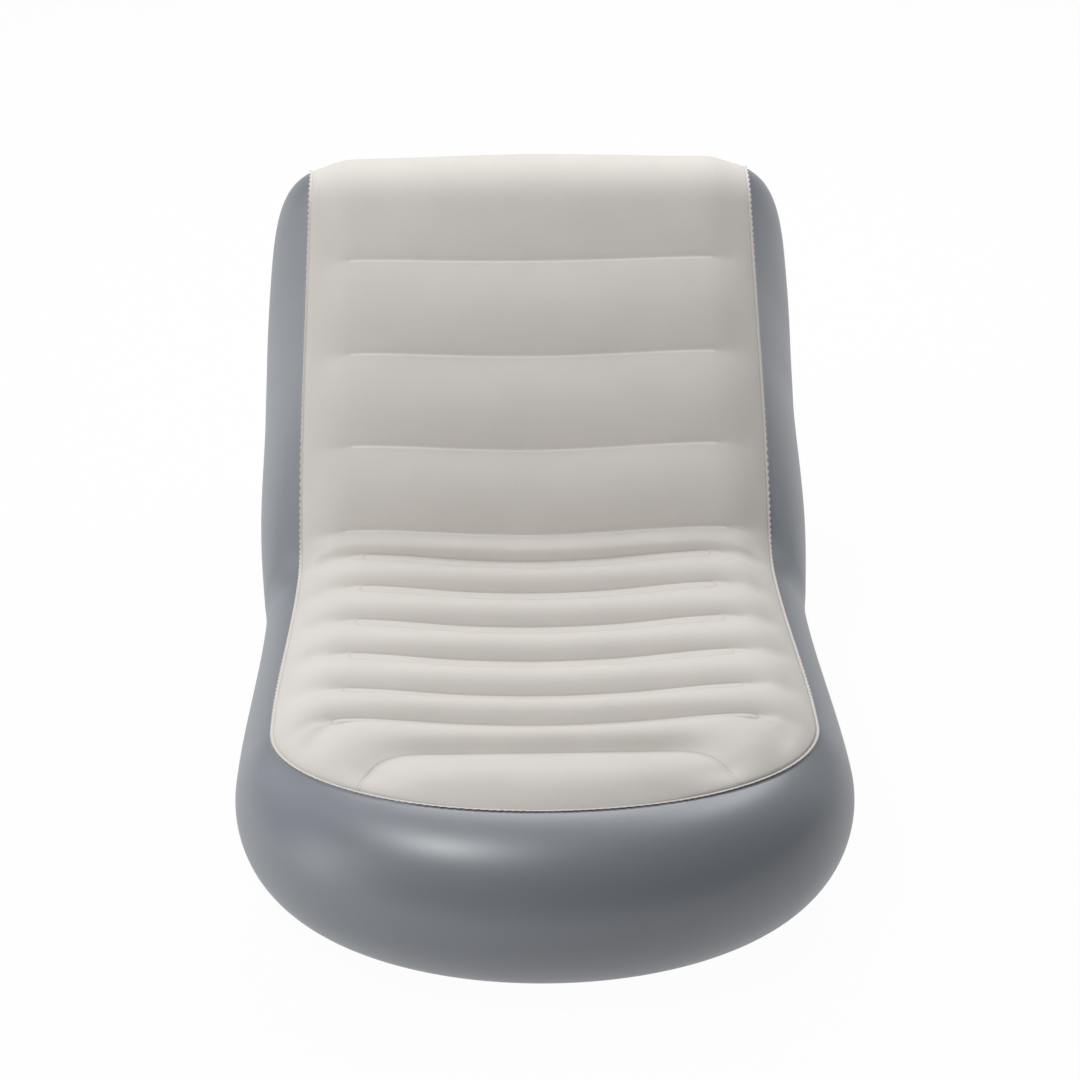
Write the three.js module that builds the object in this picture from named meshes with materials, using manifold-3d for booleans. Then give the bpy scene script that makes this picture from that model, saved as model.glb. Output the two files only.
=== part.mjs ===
// An inflatable lounger: a flocked lying surface from the foot end, up the reclined back and over
// its crest, a bulging side wall that runs round the foot end, a rear panel and a base sheet.
// Tension strips inside hold the lying surface down along its weld lines and so shape its tubes.
// A two-stage air valve sits low on the rear panel.
//
// Millimetres, +Z up, +Y towards the rear, X across. The origin lies on the floor, under the middle
// of the length and of the width.

import * as THREE from 'three';
import { mergeVertices } from 'three/addons/utils/BufferGeometryUtils.js';
import Module from 'manifold-3d';

const wasm = await Module();
wasm.setup();

// Driving dimensions: material

const seamGap = 0.3; // between two sheets, or a sheet and a moulding, that are welded together
const flockedSheet = 0.6;
const wallSheet = 0.4;
const baseSheet = 0.5;
const stripSheet = 0.35;

// Driving dimensions: the middle line of the lying surface, seen from the side

const frontSeamY = -752;
const frontSeamZ = 298;
const seatLength = 824; // from the front seam to the lowest point of the seat
const seatSag = 58; // how far that point lies under the front seam
const cornerRadius = 110; // between seat and back
const backAngle = THREE.MathUtils.degToRad(48);
const backLength = 584; // the straight part of the back
const crestRadius = 100;
const crestEndAngle = THREE.MathUtils.degToRad(-70); // slope of the sheet where it ends at the rear

// Driving dimensions: the seam round the lying surface, in plan

const footHalfWidth = 435; // widest, where the rounded foot end begins
const footLength = 290; // of the rounded foot end
const footRoundness = 2.02; // exponent of its outline: 2 is an ellipse, more is squarer
const waistHalfWidth = 404; // where seat and back meet
const topHalfWidth = 383; // at the crest
const seamRim = 6; // width of the welded rim that stands out along the seam

// Driving dimensions: weld lines and tubes

const frontTube = 181; // from the front seam to the first weld line
const seatPitch = 110; // mean distance from a seat weld line to the next
const seatPitchShares = [0.836, 0.964, 1.055, 1.082, 1.073, 0.991];
const lastSeatTube = 61; // from the last seat weld line to the crease under the back
const backPitch = 170; // mean distance between that crease and the weld lines of the back
const backPitchShares = [0.894, 0.994, 1.018];
const seatWeldWidth = 16;
const backWeldWidth = 6;
const seatTubeHeight = 27; // crest of a tube over its weld lines
const lastSeatTubeHeight = 15;
const backTubeHeight = 17;
const crestTubeHeight = 18;
const seatEdgeDrop = 12; // the side seam lies this far under the weld lines
const crestEdgeDrop = 8;
const seatWeldShare = 0.75; // half length of a weld line as a share of the half width there
const backWeldShare = 0.83;
const weldEndShare = 0.1; // of the half width, over which a tube runs out past its weld lines
const borderShare = 0.6; // height of the sheet beside the weld lines' ends, of seatTubeHeight
const edgeDropShare = 0.7; // of the half width, from where the sheet drops towards its side seam
const frontDropShare = 0.4; // of the front tube, over which the sheet rises from the front seam
const tubeFullness = 0.7; // exponent of a tube's section: less is fuller
const crestSkew = 0.6; // exponent that moves the crest tube's summit forwards: 1 leaves it midway
const rowBend = 4; // exponent with which a row bends towards its end on the seam

// Driving dimensions: side wall, base and rear panel

const baseHalfWidth = 415; // at the foot end
const baseWaistHalfWidth = 392;
const baseRearHalfWidth = 398;
const baseFootLength = 330; // of the rounded foot end of the base
const frontBulge = 184; // of the tallest wall past the straight line from seam to base, at the foot end
const sideBulge = 115;
const backBulge = 90;
const bulgeFade = 250; // height of wall over which that bulge is reached
const wallLap = 8; // of the wall over the base sheet and under the rear panel
const lapEase = 1.5; // how much further than seamGap a lap's free edge stands off the other sheet
const baseRearReach = 131.9; // of the base's rear edge past the end of the lying surface's middle line
const rearFlatReach = 48; // of the upright flat that holds the valve past that edge
const rearFlatHeight = 110;
const rearTubeHeight = 14;
const edgeClearance = 1; // between the panel's side edges and the fold of the side wall
const bulgeLimitShare = 0.45; // of the wall's height: no wall bulges further
const rearSideBow = 2; // exponent of the rear panel's side edge seen from behind
const rearEdgeBow = 1.6; // exponent of that edge seen from the side
const rearCrossBow = 2.2; // exponent of the panel's section across its width
const rearSwell = 0.8; // exponent of its swell over the floor: less is fuller
const rearLap = 10; // of the rear panel under the end of the lying surface

// Driving dimensions: tension strips

const stripInset = 1; // a strip's flange stays this far inside its weld's edges
const baseFlange = 14; // of a strip on the base sheet and on the rear panel

// Driving dimensions: valve, seen along its axis

const valveHeight = 140; // of its axis over the floor
const boreRadius = 17;
const collarWall = 2.5;
const collarDepth = 22; // inside the panel
const collarRise = 4; // outside the panel
const baseFlangeRadius = 36;
const baseFlangeSheet = 1.5;
const lipRadius = 23;
const lipThickness = 2;
const plugRadius = 22;
const plugThickness = 3;
const plugDepth = 9; // of the stopper in the bore
const plugWall = 2;
const plugTaper = 1.4;
const plugClearance = 0.4;
const hingeOffset = 27; // of the stopper's hinge under the valve's axis
const hingeRadius = 1.6;
const hingeEarWidth = 3;
const hingeClearance = 0.3;
const strapWidth = 9;
const strapThickness = 1.4;
const inletRadius = 6;
const inletWall = 1.6;
const inletRise = 2; // of the inlet's rim over the stopper
const capRadius = 9.5;
const capThickness = 2;
const capSpigot = 4.5;
const capTaper = 0.6;
const capClearance = 0.3;
const capHingeOffset = 13.5;
const capStrapWidth = 6;
const flapRadius = 7.4;
const flapThickness = 0.8;
const flapHingeOffset = 9;

// Counts of faces

const wallArcSteps = 6;
const roundSteps = 36;

const flockedMaterial = () =>
  new THREE.MeshStandardMaterial({ color: 0xcfcac4, roughness: 0.95, metalness: 0 });
const vinylMaterial = () =>
  new THREE.MeshStandardMaterial({ color: 0x7d8287, roughness: 0.45, metalness: 0 });
const baseMaterial = () =>
  new THREE.MeshStandardMaterial({ color: 0x5c6065, roughness: 0.6, metalness: 0 });
const stripMaterial = () =>
  new THREE.MeshStandardMaterial({ color: 0xb9bcc0, roughness: 0.5, metalness: 0 });
const valveMaterial = () =>
  new THREE.MeshStandardMaterial({ color: 0x8d9196, roughness: 0.35, metalness: 0 });

// Small helpers

const { lerp, clamp, smoothstep } = THREE.MathUtils;
const vec = (x, y, z) => new THREE.Vector3(x, y, z);

// Value at x of the smooth steps between [x, value] pairs.
function eased(pairs, x) {
  for (let i = 1; i < pairs.length; i++) {
    const [x0, v0] = pairs[i - 1];
    const [x1, v1] = pairs[i];
    if (x <= x1) return lerp(v0, v1, smoothstep(x, x0, x1));
  }
  return pairs[pairs.length - 1][1];
}

// Value at x of the straight stretches between [x, value] pairs.
function straight(pairs, x) {
  for (let i = 1; i < pairs.length; i++) {
    const [x0, v0] = pairs[i - 1];
    const [x1, v1] = pairs[i];
    if (x <= x1) return lerp(v0, v1, clamp((x - x0) / (x1 - x0), 0, 1));
  }
  return pairs[pairs.length - 1][1];
}

// The middle line: a chain of arcs and one straight, each { length, turn }, walked from the front
// seam. A shallow arc that sags by seatSag turns by twice its sag over its length.
const seatTurn = (2 * seatSag) / seatLength;
const chain = [
  { length: seatLength, turn: seatTurn },
  { length: cornerRadius * backAngle, turn: backAngle },
  { length: backLength, turn: 0 },
  { length: crestRadius * (backAngle - crestEndAngle), turn: crestEndAngle - backAngle },
];
const sheetLength = chain.reduce((sum, piece) => sum + piece.length, 0);

// Point and slope of the middle line at distance s, as { y, z, angle }.
function middleLine(s) {
  let [y, z, angle] = [frontSeamY, frontSeamZ, -seatTurn];
  let left = clamp(s, 0, sheetLength);
  for (const piece of chain) {
    const part = Math.min(left, piece.length);
    const turn = (piece.turn * part) / piece.length;
    // The chord of an arc points along its mean slope.
    const chord = turn === 0 ? part : (part * Math.sin(turn / 2)) / (turn / 2);
    y += chord * Math.cos(angle + turn / 2);
    z += chord * Math.sin(angle + turn / 2);
    angle += turn;
    left -= part;
    if (left <= 0) break;
  }
  return { y, z, angle };
}

// Rear edge of the base, and the upright flat over it
const rearEdgeY = middleLine(sheetLength).y + baseRearReach;
const rearFlatY = rearEdgeY + rearFlatReach;

// Weld lines and the tubes between them

const weld = (s, width, reach) => ({ s, width, reach });
const seatWelds = [weld(frontTube, seatWeldWidth, seatWeldShare)];
for (const share of seatPitchShares) {
  seatWelds.push(weld(seatWelds.at(-1).s + share * seatPitch, seatWeldWidth, seatWeldShare));
}
const backWelds = [weld(seatWelds.at(-1).s + lastSeatTube, backWeldWidth, backWeldShare)];
for (const share of backPitchShares) {
  backWelds.push(weld(backWelds.at(-1).s + share * backPitch, backWeldWidth, backWeldShare));
}
const welds = [...seatWelds, ...backWelds];
const lowEdge = (w) => w.s - w.width / 2;
const highEdge = (w) => w.s + w.width / 2;

// Rows of a tube between its weld lines, as shares of its width
const frontRowShares = [0.06, 0.2, 0.43, 0.72];
const tubeRowShares = [0.25, 0.75];
const crestRowShares = [0.13, 0.3, 0.44, 0.58, 0.72, 0.86, 1];

// Each tube as { from, to, height, shares }, from the foot end to the crest.
const tubes = welds.slice(1).map((w, i) => {
  const onSeat = i < seatWelds.length - 1;
  const last = i === seatWelds.length - 1;
  return {
    from: highEdge(welds[i]),
    to: lowEdge(w),
    height: last ? lastSeatTubeHeight : onSeat ? seatTubeHeight : backTubeHeight,
    shares: last ? [1 / 2] : tubeRowShares,
  };
});
const frontPillow = { from: 0, to: lowEdge(welds[0]), height: seatTubeHeight, shares: frontRowShares };
const crestPillow = {
  from: highEdge(welds.at(-1)),
  to: sheetLength,
  height: crestTubeHeight,
  shares: crestRowShares,
};

// Rows of the sheet as { s, outline }. The side seam bends only at the rows with outline set, and
// the sheets that meet there share those rows.
const rows = [{ s: 0, outline: true }];
const addTube = (tube, outlines) =>
  tube.shares.forEach((share, i) =>
    rows.push({ s: lerp(tube.from, tube.to, share), outline: outlines(i) })
  );
const cornerWeld = backWelds[2]; // the side wall's lines from here on end on the rear panel
addTube(frontPillow, () => true);
welds.forEach((w, i) => {
  rows.push({ s: lowEdge(w), outline: true, weld: i, corner: w === cornerWeld });
  rows.push({ s: highEdge(w), outline: false });
  const onBack = i >= seatWelds.length;
  if (i < tubes.length) addTube(tubes[i], (k) => onBack || i === 0 || (i === 1 && k === 0));
});
addTube(crestPillow, () => true);

// Outline of the lying surface

const footRound = (c) => (1 - c ** footRoundness) ** (1 / footRoundness);
const footStartY = middleLine(footLength).y;
const creaseLine = middleLine(backWelds[0].s);

// Half width at distance s along the seam, by shares of the foot end and by the named widths.
function seamHalfWidth(s) {
  if (s < footLength) return footHalfWidth * footRound(1 - s / footLength);
  return eased(
    [
      [footLength, footHalfWidth],
      [backWelds[0].s, waistHalfWidth],
      [sheetLength, topHalfWidth],
    ],
    s
  );
}

// Distances along the seam where the ends of the first weld lines meet it, in foot lengths
const lineEndShares = [0.21, 0.81, 1.33, 1.79];
function rowEnd(s) {
  const pairs = lineEndShares.map((share, i) => [seatWelds[i].s, share * footLength]);
  const steady = seatWelds.at(-2).s;
  return s < steady ? straight([[0, 0], ...pairs, [steady, steady]], s) : s;
}

// Height of the sheet over the middle line at distance s and share of the half width.
function sheetHeight(s, share) {
  const a = Math.abs(share);
  const tube = [frontPillow, ...tubes, crestPillow].find((t) => s > t.from && s < t.to);
  const near = welds.reduce((best, w) => (Math.abs(w.s - s) < Math.abs(best.s - s) ? w : best));
  const drop = eased([[0, seatEdgeDrop], [cornerWeld.s, seatEdgeDrop], [sheetLength, crestEdgeDrop]], s);
  const along = tube ? (s - tube.from) / (tube.to - tube.from) : 0;
  const skewed = tube === crestPillow ? Math.min(along, 1) ** crestSkew : along;
  let channel = tube ? tube.height * Math.sin(Math.PI * skewed) ** tubeFullness : 0;
  if (tube === frontPillow) channel -= drop * (1 - smoothstep(along, 0, frontDropShare));
  const inside = 1 - smoothstep(a, near.reach, near.reach + weldEndShare);
  const towardsSeam = clamp((a - near.reach) / (1 - near.reach), 0, 1);
  const crestFade = s > crestPillow.from ? 1 - smoothstep(s, crestPillow.from, sheetLength) : 1;
  const footFade = smoothstep(s, 0, frontTube);
  const level = borderShare * seatTubeHeight * crestFade * footFade;
  const border = level * Math.cos((Math.PI / 2) * towardsSeam);
  if (s === 0) return -drop;
  return inside * channel + (1 - inside) * border - drop * smoothstep(a, edgeDropShare, 1);
}

// Point of the sheet's under face at row distance s and share of the half width, with the outward
// direction of the middle line there.
function sheetPoint(s, share) {
  const end = rowEnd(s);
  const local = lerp(s, end, Math.abs(share) ** rowBend);
  const line = middleLine(local);
  const up = vec(0, -Math.sin(line.angle), Math.cos(line.angle));
  const point = vec(share * seamHalfWidth(end), line.y, line.z);
  return { point: point.addScaledVector(up, sheetHeight(s, share)), up };
}

// Columns across the sheet, as shares of its half width
const columnShares = [0.14, 0.5, 0.72, 0.86, 1];
const columns = [...columnShares.map((c) => -c).reverse(), ...columnShares];

// Outward direction in plan of the outline at distance end along the seam, on the +X side.
function outward(end) {
  if (end >= footLength) return vec(1, 0, 0);
  const c = 1 - end / footLength;
  const power = footRoundness - 1;
  return vec(footRound(c) ** power / footHalfWidth, -(c ** power) / footLength, 0).normalize();
}

// The seam on the +X side, one entry for each row: the root and the tip of the welded rim, and the
// directions outward and square to the rim.
const rimTilt = THREE.MathUtils.degToRad(25);
const seam = rows.map((row) => {
  const end = rowEnd(row.s);
  const { point, up } = sheetPoint(row.s, 1);
  const out = outward(end);
  const rim = out.clone().multiplyScalar(Math.cos(rimTilt)).addScaledVector(up, Math.sin(rimTilt));
  const square = up.clone().multiplyScalar(Math.cos(rimTilt)).addScaledVector(out, -Math.sin(rimTilt));
  return { ...row, end, out, root: point, rim, square };
});

// Between outline rows the seam runs straight, so that all sheets share its corners.
const outlineRows = seam.filter((row) => row.outline);
for (const row of seam) {
  if (row.outline) continue;
  const before = outlineRows.filter((o) => o.s < row.s).at(-1);
  const after = outlineRows.find((o) => o.s > row.s);
  const share = (row.s - before.s) / (after.s - before.s);
  row.root = before.root.clone().lerp(after.root, share);
  row.rim = before.rim.clone().lerp(after.rim, share);
}
for (const row of seam) row.tip = row.root.clone().addScaledVector(row.rim, seamRim);

const mirrored = (p) => vec(-p.x, p.y, p.z);

// A sheet of the given thickness from a grid of points on one of its faces. The other face lies on
// the side that towards names: 1 is along the cross product of the row and column directions.
function sheetSolid(grid, thickness, towards, foldedStart = false) {
  const [m, n] = [grid.length, grid[0].length];
  const at = (i, j) => grid[clamp(i, 0, m - 1)][clamp(j, 0, n - 1)];
  const normal = (i, j) => {
    const sum = vec(0, 0, 0);
    for (const [a, b] of [[-1, -1], [-1, 0], [0, -1], [0, 0]]) {
      const [i0, j0] = [i + a, j + b];
      if (i0 < 0 || j0 < 0 || i0 > m - 2 || j0 > n - 2) continue;
      const along = at(i0 + 1, j0).clone().add(at(i0 + 1, j0 + 1)).sub(at(i0, j0)).sub(at(i0, j0 + 1));
      const across = at(i0, j0 + 1).clone().add(at(i0 + 1, j0 + 1)).sub(at(i0, j0)).sub(at(i0 + 1, j0));
      sum.add(along.cross(across).normalize());
    }
    return sum.normalize();
  };
  const other = grid.map((line, i) =>
    line.map((p, j) => p.clone().addScaledVector(normal(i, j), thickness * towards))
  );
  if (foldedStart) {
    const middle = (n - 1) / 2;
    const low = Math.floor(middle);
    const apex = other[0][low].clone().add(other[0][Math.ceil(middle)]).multiplyScalar(1 / 2);
    const rimTip = other[0][0].clone().add(other[0][n - 1]).multiplyScalar(1 / 2);
    other[0] = other[0].map((p, j) => (j === 0 || j === n - 1 ? rimTip.clone() : apex.clone()));
  }
  const positions = [];
  const triangle = (a, b, c) => {
    if (a.distanceTo(b) === 0 || b.distanceTo(c) === 0 || c.distanceTo(a) === 0) return;
    positions.push(...a.toArray(), ...b.toArray(), ...c.toArray());
  };
  const quad = (a, b, c, d) => {
    triangle(a, b, c);
    triangle(a, c, d);
  };
  for (let i = 0; i < m - 1; i++) {
    for (let j = 0; j < n - 1; j++) {
      quad(grid[i][j], grid[i][j + 1], grid[i + 1][j + 1], grid[i + 1][j]);
      quad(other[i][j], other[i + 1][j], other[i + 1][j + 1], other[i][j + 1]);
    }
    quad(grid[i][0], grid[i + 1][0], other[i + 1][0], other[i][0]);
    quad(grid[i + 1][n - 1], grid[i][n - 1], other[i][n - 1], other[i + 1][n - 1]);
  }
  for (let j = 0; j < n - 1; j++) {
    if (!foldedStart) quad(grid[0][j + 1], grid[0][j], other[0][j], other[0][j + 1]);
    quad(grid[m - 1][j], grid[m - 1][j + 1], other[m - 1][j + 1], other[m - 1][j]);
  }
  const geometry = new THREE.BufferGeometry();
  geometry.setAttribute('position', new THREE.Float32BufferAttribute(positions, 3));
  return facingOut(geometry);
}

const mergeDistance = seamGap / 1000; // corners closer than this are one

// The geometry with merged corners, turned round if its faces point inwards.
function facingOut(geometry) {
  const bare = geometry.clone();
  for (const name of ['normal', 'uv']) bare.deleteAttribute(name);
  const merged = mergeVertices(bare, mergeDistance);
  const p = merged.getAttribute('position');
  const kept = [];
  for (let i = 0; i < merged.index.count; i += 3) {
    const [a, b, c] = [0, 1, 2].map((k) => merged.index.getX(i + k));
    if (a !== b && b !== c && c !== a) kept.push(a, b, c);
  }
  merged.setIndex(kept);
  const index = merged.index.array;
  const corner = (i) => new THREE.Vector3().fromBufferAttribute(p, index[i]);
  let volume = 0;
  for (let i = 0; i < index.length; i += 3) {
    volume += corner(i).dot(corner(i + 1).cross(corner(i + 2)));
  }
  if (volume < 0) {
    for (let i = 0; i < index.length; i += 3) {
      [index[i + 1], index[i + 2]] = [index[i + 2], index[i + 1]];
    }
  }
  return merged;
}

const solidOf = (geometry) => {
  const merged = facingOut(geometry);
  return new wasm.Manifold(
    new wasm.Mesh({
      numProp: 3,
      vertProperties: new Float32Array(merged.getAttribute('position').array),
      triVerts: new Uint32Array(merged.index.array),
    })
  );
};

function geometryOf(solid) {
  const mesh = solid.getMesh();
  const geometry = new THREE.BufferGeometry();
  geometry.setAttribute('position', new THREE.Float32BufferAttribute(mesh.vertProperties, 3));
  geometry.setIndex(new THREE.BufferAttribute(mesh.triVerts, 1));
  return geometry;
}

function named(name, geometry, material) {
  const flat = geometry.index ? geometry.toNonIndexed() : geometry;
  flat.computeVertexNormals();
  const mesh = new THREE.Mesh(flat, material);
  mesh.name = name;
  return mesh;
}

// Lying surface: the grid of its under face, with a column for the rim at each side

const sheetGrid = rows.map((row, i) => {
  const inner = columns.map((share) => {
    if (i === 0) return seam[0].root.clone();
    if (Math.abs(share) === 1) return share > 0 ? seam[i].root.clone() : mirrored(seam[i].root);
    return sheetPoint(row.s, share).point;
  });
  return [mirrored(seam[i].tip), ...inner, seam[i].tip.clone()];
});
seam[0].root.x = 0;
sheetGrid[0] = sheetGrid[0].map((p) => vec(0, p.y, p.z));

function lyingSurface() {
  return named('lying_surface', sheetSolid(sheetGrid, flockedSheet, -1, true), flockedMaterial());
}

const rearFlatLow = valveHeight - rearFlatHeight / 2;
const rearFlatHigh = valveHeight + rearFlatHeight / 2;

// Rear panel: its edge and its middle, seen from the side, one entry for each outline row from the
// corner at the floor up to the end of the lying surface

const upperRows = outlineRows.slice(outlineRows.findIndex((row) => row.corner));
const rearTop = sheetGrid.at(-1)[columns.length]; // rear corner of the lying surface
const rearTopMiddle = sheetGrid.at(-1)[columns.length / 2];
const rearTopHeight = rearTop.z - 2 * seamRim;
// Heights of the rows over the upright flat, as shares of what is left up to the top
const rearHeightShares = [0.2, 0.375, 0.52, 0.65, 0.77, 0.89, 1];
const rearSwellShare = 0.4; // where the row stands between the floor and the upright flat
const rearHeights = [
  0,
  rearSwellShare * rearFlatLow,
  rearFlatLow,
  rearFlatHigh,
  ...rearHeightShares.map((share) => lerp(rearFlatHigh, rearTopHeight, share)),
];
// Fullness of the rear tubes at those rows, where 0 is a weld line
const rearTubeShares = [0, 1, 0.9, 0, 1, 0.8, 0];
const rearWeldRows = [4, 7];

const rearRows = upperRows.map((row, i) => {
  const z = rearHeights[i];
  const rise = z / rearTopHeight;
  const x = lerp(baseRearHalfWidth, row.root.x, rise ** rearSideBow);
  const edgeY = lerp(rearEdgeY, rearTop.y, rise ** rearEdgeBow);
  const above = clamp((z - rearFlatHigh) / (rearTopHeight - rearFlatHigh), 0, 1);
  const tube = rearTubeHeight * (rearTubeShares[i - rearWeldRows[0]] ?? 0);
  const swell = Math.sin((Math.PI / 2) * Math.min(1, z / rearFlatLow)) ** rearSwell;
  const lower = lerp(rearEdgeY, rearFlatY, swell);
  const middleY = z < rearFlatHigh ? lower : lerp(rearFlatY, rearTopMiddle.y, above);
  return { edge: vec(x, edgeY, z), middleY: middleY + tube };
});

const panelDepth = seamGap + wallSheet; // from a sheet down to the inner face of the one under it

// The panel's inner face, from the floor up, then its two rows tucked under the lying surface.
const flatShare = columnShares[0];
const endUp = sheetPoint(sheetLength, 0).up;
const rearGrid = rearRows.map(({ edge, middleY }, i) =>
  columns.map((share) => {
    const a = Math.abs(share);
    const full = 1 - (Math.max(0, a - flatShare) / (1 - flatShare)) ** rearCrossBow;
    const z = i === 0 ? baseSheet + seamGap : edge.z;
    return vec(share * (edge.x - edgeClearance), lerp(edge.y, middleY, full), z);
  })
);
const tuckedRow = (lap) =>
  columns.map((share, j) => {
    const [end, before] = [sheetGrid.at(-1)[j + 1], sheetGrid.at(-2)[j + 1]];
    const point = end.clone().lerp(before, lap / end.distanceTo(before));
    point.addScaledVector(endUp, -panelDepth - (lapEase * lap) / rearLap);
    return point.setX(point.x * (1 - edgeClearance / rearTop.x));
  });
rearGrid.push(tuckedRow(0), tuckedRow(rearLap));

function rearPanel() {
  const panel = solidOf(sheetSolid(rearGrid, wallSheet, 1));
  const radius = boreRadius + collarWall + seamGap;
  const hole = new THREE.CylinderGeometry(radius, radius, 2 * collarDepth, roundSteps);
  hole.translate(0, rearFlatY, valveHeight);
  return named('rear_panel', geometryOf(panel.subtract(solidOf(hole))), vinylMaterial());
}

// Side wall: from the rim under the lying surface, bulging out and back in, to the base sheet or,
// from the rear corner on, to the rear panel. Each line is one arc between its root and its foot.

const backSpan = cornerWeld.s - cornerWeld.width / 2 - backWelds[0].s;

// Foot of the wall's line that starts at an outline row, the direction in which it laps on, and the
// direction away from the sheet it laps over.
function wallFoot(row, upperIndex) {
  const z = baseSheet + panelDepth;
  if (upperIndex > 0) {
    const [edge, next] = [rearGrid[upperIndex].at(-1), rearGrid[upperIndex].at(-2)];
    const foot = rearRows[upperIndex].edge.clone();
    const inward = next.clone().sub(edge).normalize();
    const below = rearRows[upperIndex - 1].edge;
    const up = foot.clone().sub(below).normalize();
    const away = up.cross(inward).normalize();
    return { foot: foot.addScaledVector(away, panelDepth), inward, away };
  }
  const [inward, away] = [row.out.clone().negate(), vec(0, 0, 1)];
  if (row.end < footLength) {
    const c = 1 - row.end / footLength;
    const foot = vec(baseHalfWidth * footRound(c), footStartY - baseFootLength * c, z);
    return { foot, inward, away };
  }
  const onBack = clamp((row.s - backWelds[0].s) / backSpan, 0, 1);
  const along = row.s < backWelds[0].s ? row.root.y : lerp(creaseLine.y, rearEdgeY, onBack);
  const y = upperIndex === 0 ? rearEdgeY - panelDepth : along;
  const widths = [
    [footStartY, baseHalfWidth],
    [creaseLine.y, baseWaistHalfWidth],
    [rearEdgeY, baseRearHalfWidth],
  ];
  return { foot: vec(eased(widths, y), y, z), inward, away };
}

// How far the wall bulges past the straight line from root to foot.
function wallBulge(row, chord) {
  const atFoot = lerp(sideBulge, frontBulge, row.out.y ** 2);
  const atBack = eased([[backWelds[0].s, sideBulge], [cornerWeld.s, backBulge]], row.s);
  const full = row.end < footLength ? atFoot : atBack;
  return Math.min(full * (1 - Math.exp(-chord / bulgeFade)), bulgeLimitShare * chord);
}

function wallLine(row) {
  const upperIndex = upperRows.indexOf(row);
  const { foot, inward, away } = wallFoot(row, upperIndex);
  const shift = row.square.clone().multiplyScalar(-seamGap);
  const root = row.root.clone().add(shift);
  const chord = root.clone().sub(foot);
  const length = chord.length();
  const along = chord.divideScalar(length);
  const out = row.out.clone().addScaledVector(along, -row.out.dot(along)).normalize();
  const half = 2 * Math.atan((2 * wallBulge(row, length)) / length);
  const radius = length / 2 / Math.sin(half);
  const middle = root.clone().add(foot).divideScalar(2);
  const arc = [];
  for (let k = 1; k < wallArcSteps; k++) {
    const angle = half * (1 - (2 * k) / wallArcSteps);
    const point = middle.clone().addScaledVector(along, radius * Math.sin(angle));
    arc.push(point.addScaledVector(out, radius * (Math.cos(angle) - Math.cos(half))));
  }
  const lap = foot.clone().addScaledVector(inward, wallLap).addScaledVector(away, lapEase);
  return [row.tip.clone().add(shift), root, ...arc, foot, lap];
}

const wallLines = outlineRows.map(wallLine);

function sideWall() {
  const right = wallLines.slice(1).reverse();
  const left = wallLines.slice(1).map((line) => line.map(mirrored));
  const pole = wallLines[0].map((p) => vec(0, p.y, p.z));
  return named('side_wall', sheetSolid([...right, pole, ...left], wallSheet, 1), vinylMaterial());
}

// Base sheet, flat on the floor, with a rim past the foot of the wall

const baseColumns = [-1, -1 / 2, 0, 1 / 2, 1];
const baseRows = outlineRows.slice(0, outlineRows.indexOf(upperRows[0]) + 1);

function baseSheetPiece() {
  const grid = baseRows.map((row, i) => {
    const foot = wallLines[i].at(-2).clone().addScaledVector(row.out, seamRim).setZ(0);
    if (i === 0) foot.x = 0;
    return baseColumns.map((share) => vec(share * foot.x, foot.y, 0));
  });
  grid.push(grid.at(-1).map((p) => vec(p.x, rearEdgeY + seamRim, 0)));
  return named('base_sheet', sheetSolid(grid, baseSheet, -1), baseMaterial());
}

// Tension strips: a thin web with a flange welded to the sheet above and one to the sheet below

// Section of a strip from { top, bottom }, each two edge points of a flange and the direction from
// its sheet into the chamber. The web runs between the first edges, on their flanges' side.
function stripSection({ top, bottom }) {
  const ends = [top, bottom].map(({ from, to, into }) => {
    const outer = [from, to].map((p) => p.clone().addScaledVector(into, seamGap));
    return { outer, into, along: to.clone().sub(from).normalize() };
  });
  const web = ends[1].outer[0].clone().sub(ends[0].outer[0]).normalize();
  const side = ends[0].along.clone().addScaledVector(web, -ends[0].along.dot(web)).normalize();
  const [a, b] = ends.map(({ outer, into, along }) => {
    const inner = outer.map((p) => p.clone().addScaledVector(into, stripSheet));
    const foot = (stripSheet * (1 - into.dot(side))) / along.dot(side);
    return [outer[0], outer[1], inner[1], inner[0].addScaledVector(along, foot)];
  });
  return [...a, ...b.reverse()];
}

// Sides of the section that face the chamber. They are split along the same diagonals as the sides
// behind them, so that a twisted strip keeps its thickness.
const stripInnerFaces = [2, 3, 4];

function strip(name, stations) {
  const sections = stations.map(stripSection);
  const positions = [];
  const quad = (a, b, c, d) => {
    for (const p of [a, b, c, a, c, d]) positions.push(...p.toArray());
  };
  const [first, last] = [sections[0], sections.at(-1)];
  for (const [a, b, c, d] of [[0, 1, 2, 3], [0, 3, 4, 7], [4, 5, 6, 7]]) {
    quad(first[d], first[c], first[b], first[a]);
    quad(last[a], last[b], last[c], last[d]);
  }
  sections.slice(1).forEach((section, i) => {
    section.forEach((p, k) => {
      const next = (k + 1) % section.length;
      const corners = [sections[i][k], sections[i][next], section[next], p];
      if (stripInnerFaces.includes(k)) corners.push(corners.shift());
      quad(...corners);
    });
  });
  const geometry = new THREE.BufferGeometry();
  geometry.setAttribute('position', new THREE.Float32BufferAttribute(positions, 3));
  return named(name, facingOut(geometry), stripMaterial());
}

// Point at x on a row of a grid, whose points run in the order of x.
function onRow(line, x) {
  const j = line.findIndex((p, k) => k > 0 && p.x >= x);
  const [before, after] = [line[j - 1], line[j]];
  return before.clone().lerp(after, (x - before.x) / (after.x - before.x)).setX(x);
}

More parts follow.
